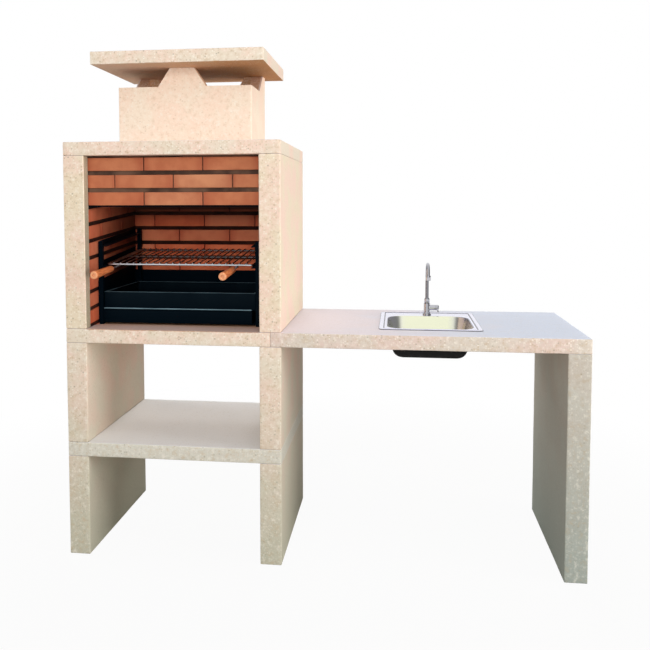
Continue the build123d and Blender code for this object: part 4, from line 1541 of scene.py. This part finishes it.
@dataclass
class PressedSink:
    """The sink, pressed from one sheet: a rolled rim, a raised bead, a deck, and a tapered bowl."""

    sheet: float = 1.2 * MM
    rim_corner: float = 20.0 * MM
    rim_roll: float = 1.0 * MM
    bead_inset: float = 13.0 * MM
    bead_width: float = 5.0 * MM
    bead_height: float = 1.4 * MM
    bowl_side: float = 29.5 * MM
    bowl_front: float = 22.0 * MM
    bowl_length: float = 326.0 * MM
    bowl_depth: float = 115.0 * MM
    bowl_corner: float = 64.0 * MM
    lip: float = 3.2 * MM
    lip_round: float = 4.0 * MM
    draft_deg: float = 14.0
    floor_inset: float = 62.0 * MM
    floor_round: float = 32.0 * MM
    drain: float = 35.0 * MM
    flange: float = 42.0 * MM
    cup: float = 34.7 * MM
    cup_bore: float = 30.0 * MM
    tail_bore: float = 20.0 * MM
    tail_root: float = 23.1 * MM
    tail_crest: float = 23.9 * MM
    tail_length: float = 8.0 * MM

    def rim(self) -> list[tuple[float, float, float, float]]:
        """The rim and its bead, from the edge in. The bead's height follows a sine squared.

        Returns:
            For each ring its inset, its height, its corners' radius, and how dark its painted reflection line
            is.
        """
        corner, start, end = self.rim_corner, self.bead_inset, self.bead_inset + self.bead_width
        turn = np.linspace(0, math.pi / 2, 4)
        # Each ring's last number paints a dark reflection line: along the rolled edge, and at the bead's
        # foot.
        rings = [(self.rim_roll * (1 - math.cos(angle)), -self.rim_roll * (1 - math.sin(angle)), corner, dull)
                 for angle, dull in zip(turn, (0.9, 0.9, 0.8, 0.7))]
        plan = [(3.0 * MM, 0.0, 0.0), (start - 2 * MM, 0.0, 0.0)]
        plan += [(start + share * self.bead_width, math.sin(share * math.pi) ** 2 * self.bead_height,
                  float(ease(share, 0.5, 0.8))) for share in np.linspace(0, 1, 9)]
        plan += [(end + 2.2 * MM, 0.0, 0.9), (end + 3.6 * MM, 0.0, 0.0)]
        return rings + [(inset, rise, corner - inset / 2, dull) for inset, rise, dull in plan]

    def bowl(self) -> None:
        """Joins rings from the rim's edge over the bead and the deck, down the wall and in to the drain.

        The bowl is insets of its mouth along a line with two arcs: the lip and the floor's edge. On the
        floor the rings blend from the rectangle into a circle about the drain.
        """
        low, high = node_box("sink_bowl")
        half, centre = middle_of(low, high)
        top = high[2] - self.bead_height
        rim = self.rim()
        rings = [level_ring(half - inset, centre, corner, top + rise, 12, 14)
                 for inset, rise, corner, _ in rim]
        mouth_half = np.array([half[0] - self.bowl_side, self.bowl_length / 2])
        mouth = np.array([centre[0], low[1] + self.bowl_front + self.bowl_length / 2])
        depth = self.bowl_depth
        lean = depth * math.tan(math.radians(self.draft_deg))
        outline = rounded_line([
            (-self.lip, 0.0), (0.0, 0.0, self.lip_round), (lean, depth, self.floor_round),
            (self.floor_inset, depth)], 8)
        rings += [level_ring(mouth_half - inset, mouth, self.bowl_corner - inset, top - drop, 12, 14)
                  for inset, drop in outline]
        foot = rings[-1]
        spread = foot[:, :2] - mouth
        circle = spread / np.linalg.norm(spread, axis=1, keepdims=True)
        for share in np.linspace(0, 1, 9)[1:]:
            reach = (1 - share) * spread + share * self.drain * circle
            round_reach = circle * np.linalg.norm(reach, axis=1, keepdims=True)
            eased = ease(share, 0, 1)
            rings.append(np.column_stack([(1 - eased) * reach + eased * round_reach + mouth, foot[:, 2]]))
        grid = np.array(rings)
        order = np.arange(len(rings))[:, None]
        shares = (grid[..., :2] - mouth) / mouth_half
        sideways = np.abs(shares[..., 0])
        # The bowl is tinted yellow-green, less at its ends, as a painted reflection, and its right end is
        # painted darker, a painted dark reflection.
        inside = order >= len(rim) + 2
        ends = inside * ease(sideways, 0.5, 1.0)
        # Dark painted reflections run all round the edge, and elsewhere mostly behind and beside the bowl.
        crease = np.pad([dull for *_, dull in rim], (0, len(rings) - len(rim)))[:, None]
        seen = np.clip(0.15 + ease(shares[..., 1], 0.9, 1.05) + 0.8 * ease(sideways, 0.95, 1.05), 0, 1)
        dark_reflection = crease * np.maximum(order < 4, seen) + 0.5 * ends * (shares[..., 0] > 0)
        reflection_tint = inside * (1 - ends)
        shell = Shell().add(grid[::-1], wrap_columns=True, soot=reflection_tint[::-1], crease=dark_reflection[::-1])
        self.finished(shell.mesh("pressed_sink"))

    def finished(self, made: bpy.types.Mesh) -> None:
        """Turns the sheet's face up, and gives it its thickness, with the drum coat below as painted shade.

        Args:
            made: The sheet's upper face.
        """
        if sum(face.normal.z * face.area for face in made.polygons) < 0:
            made.flip_normals()
        piece = place_piece(made, "pressed_sink", STAINLESS, "sink_bowl", sharp_deg=50.0)
        made.materials.append(SHADED_DRUM_COAT.material())
        wall = piece.modifiers.new("sheet", "SOLIDIFY")
        wall.thickness = self.sheet
        wall.offset = -1.0
        wall.material_offset = 1
        wall.use_even_offset = True

    def waste(self) -> None:
        """The waste: a flange in the drain, a cup, and a tail with its thread's ridges."""
        low, high = node_box("waste_cup")
        bottom, top = low[2], high[2]
        middle = middle_of(low, high)[1]
        tail, root, crest = self.tail_bore, self.tail_root, self.tail_crest
        flange, bore = self.flange, self.cup_bore
        under, shelf, worn = bottom + self.tail_length, top - 2.0 * MM, top - 0.4 * MM
        tooth = [(root, 0.0), (root, 0.5 * MM), (crest, 1.0 * MM), (crest, 1.5 * MM)]
        outline = np.vstack([
            [(tail, bottom), (root, bottom)], ridges(tooth, bottom + 0.1 * MM, 4),
            [(self.cup, under), (self.cup, shelf), (flange, shelf), (flange, top - 1.2 * MM),
             (flange - 1.0 * MM, worn), (flange - 3.0 * MM, top), (bore + 1.5 * MM, top),
             (bore + 0.4 * MM, worn), (bore, top - 1.2 * MM), (bore, under + 2 * MM),
             (tail, under + 2 * MM), (tail, bottom)]])
        shell = turned(outline, 64, Matrix.Translation((*middle, 0)))
        place_piece(shell, "spun_waste", STAINLESS, "waste_cup", sharp_deg=40.0)

    def build(self) -> None:
        """Makes the bowl and the waste."""
        self.bowl()
        self.waste()


@dataclass
class SwanNeckTap:
    """The tap: foot and column, valve, collar nut, bent neck with its nozzle, aerator and lever."""

    foot: float = 17.0 * MM
    foot_height: float = 5.0 * MM
    column: float = 13.0 * MM
    valve: float = 11.0 * MM
    valve_level: float = 30.0 * MM
    valve_reach: float = 36.0 * MM
    spindle: float = 4.0 * MM
    spindle_reach: float = 45.0 * MM
    shank: float = 12.0 * MM
    shank_length: float = 34.0 * MM
    inlet: float = 10.4 * MM
    inlet_length: float = 20.0 * MM
    thread: float = 0.8 * MM
    bore: float = 5.6 * MM
    collar: float = 11.0 * MM
    neck: float = 7.0 * MM
    neck_engagement: float = 14.0 * MM
    neck_ring: float = 9.0 * MM
    neck_ring_height: float = 2.0 * MM
    bend: float = 55.0 * MM
    rise: float = 88.0 * MM
    nozzle: float = 10.5 * MM
    nozzle_wall: float = 2.0 * MM
    nozzle_height: float = 20.0 * MM
    nozzle_drop: float = 5.0 * MM
    nozzle_recess: float = 5.0 * MM
    hub_length: float = 12.0 * MM
    lever_length: float = 50.0 * MM
    lever_radius: float = 3.4 * MM
    lever_droop_deg: float = 10.0
    gap: float = 0.3 * MM

    def seat(self, level: float = 0.0, forward: float = 0.0) -> Matrix:
        """A place over the tap's axis, or in front of it.

        Args:
            level: Its height.
            forward: How far in front of the axis it is.

        Returns:
            The shift to it.
        """
        low, high = node_box("tap_collar")
        return Matrix.Translation(((low[0] + high[0]) / 2, (low[1] + high[1]) / 2 - forward, level))

    def base(self) -> float:
        """The level of the foot's underside, on the sink's deck."""
        return node_box("tap_body")[0][2] + self.inlet_length + self.shank_length

    def body(self) -> None:
        """Column and shank are turned about Z, the valve housing and its spindle about X."""
        base, column_top = self.base(), node_box("tap_collar")[0][2]
        shoulder, top = base - self.shank_length, base + self.foot_height
        bottom, root = shoulder - self.inlet_length, self.inlet - self.thread
        tooth = [(self.inlet, 0.0), (self.inlet, 0.6 * MM), (root, 1.0 * MM), (root, 1.6 * MM)]
        outline = np.vstack([
            [(0.0, top), (self.bore, top), (self.bore, bottom), (root, bottom),
             (self.inlet, bottom + self.thread)],
            ridges(tooth, bottom + 2 * MM, 8),
            [(self.inlet, shoulder), (self.shank, shoulder), (self.shank, base)],
            rounded_line([
                (self.shank, base), (self.foot, base), (self.foot, top, 1.8 * MM),
                (self.column, top, 1.0 * MM), (self.column, column_top, 1.2 * MM), (0.0, column_top)], 6)])
        side = np.vstack([
            rounded_line([(0.0, 0.0), (self.valve, 0.0), (self.valve, self.valve_reach, 0.8 * MM),
                          (self.spindle, self.valve_reach)], 4),
            rounded_line([(self.spindle, self.valve_reach), (self.spindle, self.spindle_reach, 0.5 * MM),
                          (0.0, self.spindle_reach)], 3)])
        sideways = self.seat(base + self.valve_level) @ Matrix.Rotation(math.pi / 2, 4, "Y")
        shell = turned(outline, 56, self.seat()).join(turned(side, 48, sideways))
        place_piece(shell, "plated_tap_body", CHROME, "tap_body")

    def collar_nut(self) -> None:
        """A rounded nut, bored for the neck."""
        low, high = (corner[2] for corner in node_box("tap_collar"))
        bored, bore = high - self.neck_engagement - self.gap, self.neck + self.gap
        outline = rounded_line([
            (0.0, low), (self.collar, low, 3.2 * MM), (self.collar, high, 4.2 * MM), (bore, high, 0.4 * MM),
            (bore, bored), (0.0, bored)], 8)
        place_piece(turned(outline, 56, self.seat()), "plated_tap_collar", CHROME, "tap_collar")

    def spout(self) -> None:
        """The neck is a tube along a line, a half circle and a line. Ring, nozzle and aerator are turned."""
        base = node_box("tap_collar")[1][2]
        rise = base + self.rise
        turn = np.linspace(0, math.pi, 37)
        line = np.concatenate([
            np.linspace((0.0, base - self.neck_engagement), (0.0, rise), 12)[:-1],
            np.column_stack([-self.bend * (1 - np.cos(turn)), rise + self.bend * np.sin(turn)]),
            [(-2 * self.bend, rise - 2 * MM)]])
        bar = tube(carried(np.insert(line, 0, 0.0, axis=1), self.seat()), self.neck, 32)
        # The straight part is painted darker than the bend: a painted dark reflection.
        neck_dark_reflection = 0.7 * ease(bar[..., 2], rise + 8 * MM, rise - 4 * MM)
        shell = Shell().add(bar, wrap_columns=True, crease=neck_dark_reflection)
        width, top = self.neck_ring, base + self.neck_ring_height
        ring = rounded_line([(0.0, base), (width, base, 0.8 * MM), (width, top, 0.8 * MM), (0.0, top)], 4)
        shell.join(turned(ring, 40, self.seat()))
        low, wall = rise - self.nozzle_drop, self.nozzle - self.nozzle_wall
        high, recess = low + self.nozzle_height, low + self.nozzle_recess
        over_drain = self.seat(0.0, 2 * self.bend)
        nozzle = rounded_line([
            (0.0, recess), (wall, recess), (wall, low, 0.3 * MM), (self.nozzle, low, 1.5 * MM),
            (self.nozzle, high, 2.5 * MM), (0.0, high)], 6)
        shell.join(turned(nozzle, 48, over_drain))
        place_piece(shell, "plated_tap_neck", CHROME, "tap_neck", "spout")
        aerator = rounded_line([
            (self.bore, low), (wall, low, 0.6 * MM), (wall, recess), (self.bore, recess, 0.4 * MM),
            (self.bore, low)], 4)
        place_piece(turned(aerator, 48, over_drain), "plated_tap_aerator", CHROME, "tap_aerator", "spout")

    def lever(self) -> None:
        """The hub is turned about X with a domed end, and the arm is a round bar."""
        start, end = self.valve_reach + self.gap, self.valve_reach + self.gap + self.hub_length
        socket, bore = self.spindle_reach + self.gap, self.spindle + self.gap
        outline = rounded_line([
            (0.0, socket), (bore, socket), (bore, start), (self.valve, start, 0.5 * MM),
            (self.valve, end, 5.5 * MM), (0.0, end)], 8)
        hub = turned(outline, 48, Matrix.Rotation(math.pi / 2, 4, "Y"))
        middle = (start + end) / 2
        path = np.linspace((middle, 0, 0), (middle, -self.lever_length - self.lever_radius, 0), 14)
        arm = Shell().add(tube(path, self.lever_radius, 24), wrap_columns=True)
        arm.moved(Matrix.Rotation(math.radians(self.lever_droop_deg), 4, "X"))
        shell = hub.join(arm).moved(self.seat(self.base() + self.valve_level))
        place_piece(shell, "plated_tap_lever", CHROME, "tap_lever", "lever")

    def build(self) -> None:
        """Makes every part of the tap."""
        self.body()
        self.collar_nut()
        self.spout()
        self.lever()


@dataclass(frozen=True)
class Lamp:
    """A square lamp that faces the middle of the object."""

    name: str
    place: tuple[float, float, float]
    size_m: float
    watts: float

    def build(self, aim: Vector) -> None:
        """Hangs the lamp.

        Args:
            aim: The point that it faces.
        """
        data = bpy.data.lights.new(self.name, "AREA")
        data.size = self.size_m
        data.energy = self.watts
        lamp = bpy.data.objects.new(self.name, data)
        bpy.context.scene.collection.objects.link(lamp)
        turn = (aim - Vector(self.place)).to_track_quat("-Z", "Y").to_matrix().to_4x4()
        lamp.matrix_world = Matrix.Translation(self.place) @ turn
        # Metal mirrors the white surround, and not the lamps.
        lamp.visible_glossy = False


@dataclass
class Studio:
    """A plain pale floor, a white surround, soft lamps, and the camera."""

    lens_mm: float = 43.04
    sensor_mm: float = 36.0
    shift_x: float = 0.0490
    shift_y: float = -0.1142
    eye_m: tuple[float, float, float] = (0.27609, -2.97843, 1.30753)
    tilt_deg: float = 3.507
    yaw_deg: float = 7.639
    roll_deg: float = -0.117
    floor_radius_m: float = 30.0
    surround: float = 0.29
    flag_depth: float = 0.79
    aim: tuple[float, float, float] = (0.0, 0.0, 0.9)
    lamps: tuple[Lamp, ...] = (
        Lamp("front_lamp", (-0.1, -5.2, 2.2), 2.6, 136.0),
        Lamp("right_lamp", (4.7, -1.1, 1.5), 2.4, 182.0),
        Lamp("left_lamp", (-5.0, 0.8, 3.3), 2.4, 88.0),
        Lamp("top_lamp", (0.2, -2.2, 4.6), 2.6, 42.0),
        Lamp("back_lamp", (-0.2, 4.4, 4.2), 2.4, 150.0))

    def camera(self) -> None:
        """Sets the camera where the photograph was taken from."""
        data = bpy.data.cameras.new("camera")
        data.lens = self.lens_mm
        data.sensor_width = self.sensor_mm
        data.shift_x = self.shift_x
        data.shift_y = self.shift_y
        camera = bpy.data.objects.new("camera", data)
        bpy.context.scene.collection.objects.link(camera)
        turn = (Matrix.Rotation(math.radians(self.yaw_deg), 4, "Z")
                @ Matrix.Rotation(math.radians(90 - self.tilt_deg), 4, "X")
                @ Matrix.Rotation(math.radians(self.roll_deg), 4, "Z"))
        camera.matrix_world = Matrix.Translation(self.eye_m) @ turn
        bpy.context.scene.camera = camera

    def surroundings(self) -> None:
        """Makes the world white for the eye and for reflections, and a plain level as light."""
        world = bpy.data.worlds.new("surround")
        bpy.context.scene.world = world
        world.use_nodes = True
        world.node_tree.nodes.clear()
        add = functools.partial(add_node, world.node_tree)
        rays = add("LightPath").node.outputs
        seen = add("Math", [rays["Is Camera Ray"], rays["Is Glossy Ray"]], GREATER)
        seen = add("Math", [seen, rays["Is Transmission Ray"]], GREATER)
        strength = add("MapRange", [seen, 0.0, 1.0, self.surround, 1.0])
        # Two tall grey flags, to the left and the right, draw dark lines down polished metal.
        toward = add("SeparateXYZ", [add("TexCoord", out="Generated")])
        flag = add("MapRange", [add("Math", [toward], UNSIGNED), 0.22, 0.70, 0.0, self.flag_depth], SMOOTH)
        dimmed = add("Math", [flag, rays["Is Glossy Ray"]], TIMES)
        strength = add("Math", [strength, add("Math", [1.0, dimmed], LESS)], TIMES)
        add("OutputWorld", [add("Background", ["#FFFFFF", strength])])

    def floor(self) -> None:
        """Lays the floor: a disc whose rings stand at the squares of even shares of its radius."""
        reach = np.linspace(0.01, 1.0, 12) ** 2 * self.floor_radius_m
        outline = np.pad(np.concatenate([[0.0], reach])[:, None], ((0, 0), (0, 1)))
        made = turned(outline, 64, Matrix.Identity(4)).mesh("floor")
        made.materials.append(FLOOR_PAINT.material())
        floor = bpy.data.objects.new("floor", made)
        bpy.context.scene.collection.objects.link(floor)

    def build(self) -> None:
        """Sets up everything round the object."""
        bpy.context.scene.view_settings.view_transform = "Standard"
        self.camera()
        self.surroundings()
        self.floor()
        for lamp in self.lamps:
            lamp.build(Vector(self.aim))
        LOG.info("studio: camera, surround, floor and %d lamps", len(self.lamps))


DRESSED = (
    (FIRE_CONCRETE, ("firebox_left_wall", "firebox_right_wall", "firebox_back_wall")),
    (PALE_CONCRETE, ("chimney_shell",)),
    (BLACK_STEEL, ("lintel_angle", "left_rack", "right_rack", "left_side_plate", "right_side_plate",
                   "fire_back_plate", "charcoal_grate")),
    (MORTAR, ("lintel_mortar",)),
    (HEARTH_MORTAR, ("left_lining_mortar", "right_lining_mortar", "back_lining_mortar")),
    (STAINLESS, ("sink_clips", "sink_strainer")),
    (SEAL_RUBBER, ("sink_seal",)),
    (WHITE_PLASTIC, ("waste_nut",)),
    (BRASS, ("tap_nut",)))


def main() -> None:
    """Builds the scene in order."""
    logging.basicConfig(level=logging.INFO, format="%(name)s %(message)s")
    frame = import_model()
    Studio().build()
    CastSlabs().build()
    PiercedSlab("worktop_slab", "sink_bowl", 11.0 * MM, 12.0 * MM, 51, WORKTOP_CONCRETE).build()
    PiercedSlab("firebox_roof_slab", "chimney_shell", 45.0 * MM, 1.0 * MM, 57, CONCRETE).build()
    for assembly in (BrickCourses(), WireGrill(), FireSet(), PressedSink(), SwanNeckTap()):
        assembly.build()
    for finish, nodes in DRESSED:
        dress(frame, finish, *nodes)


if __name__ == "__main__":
    main()
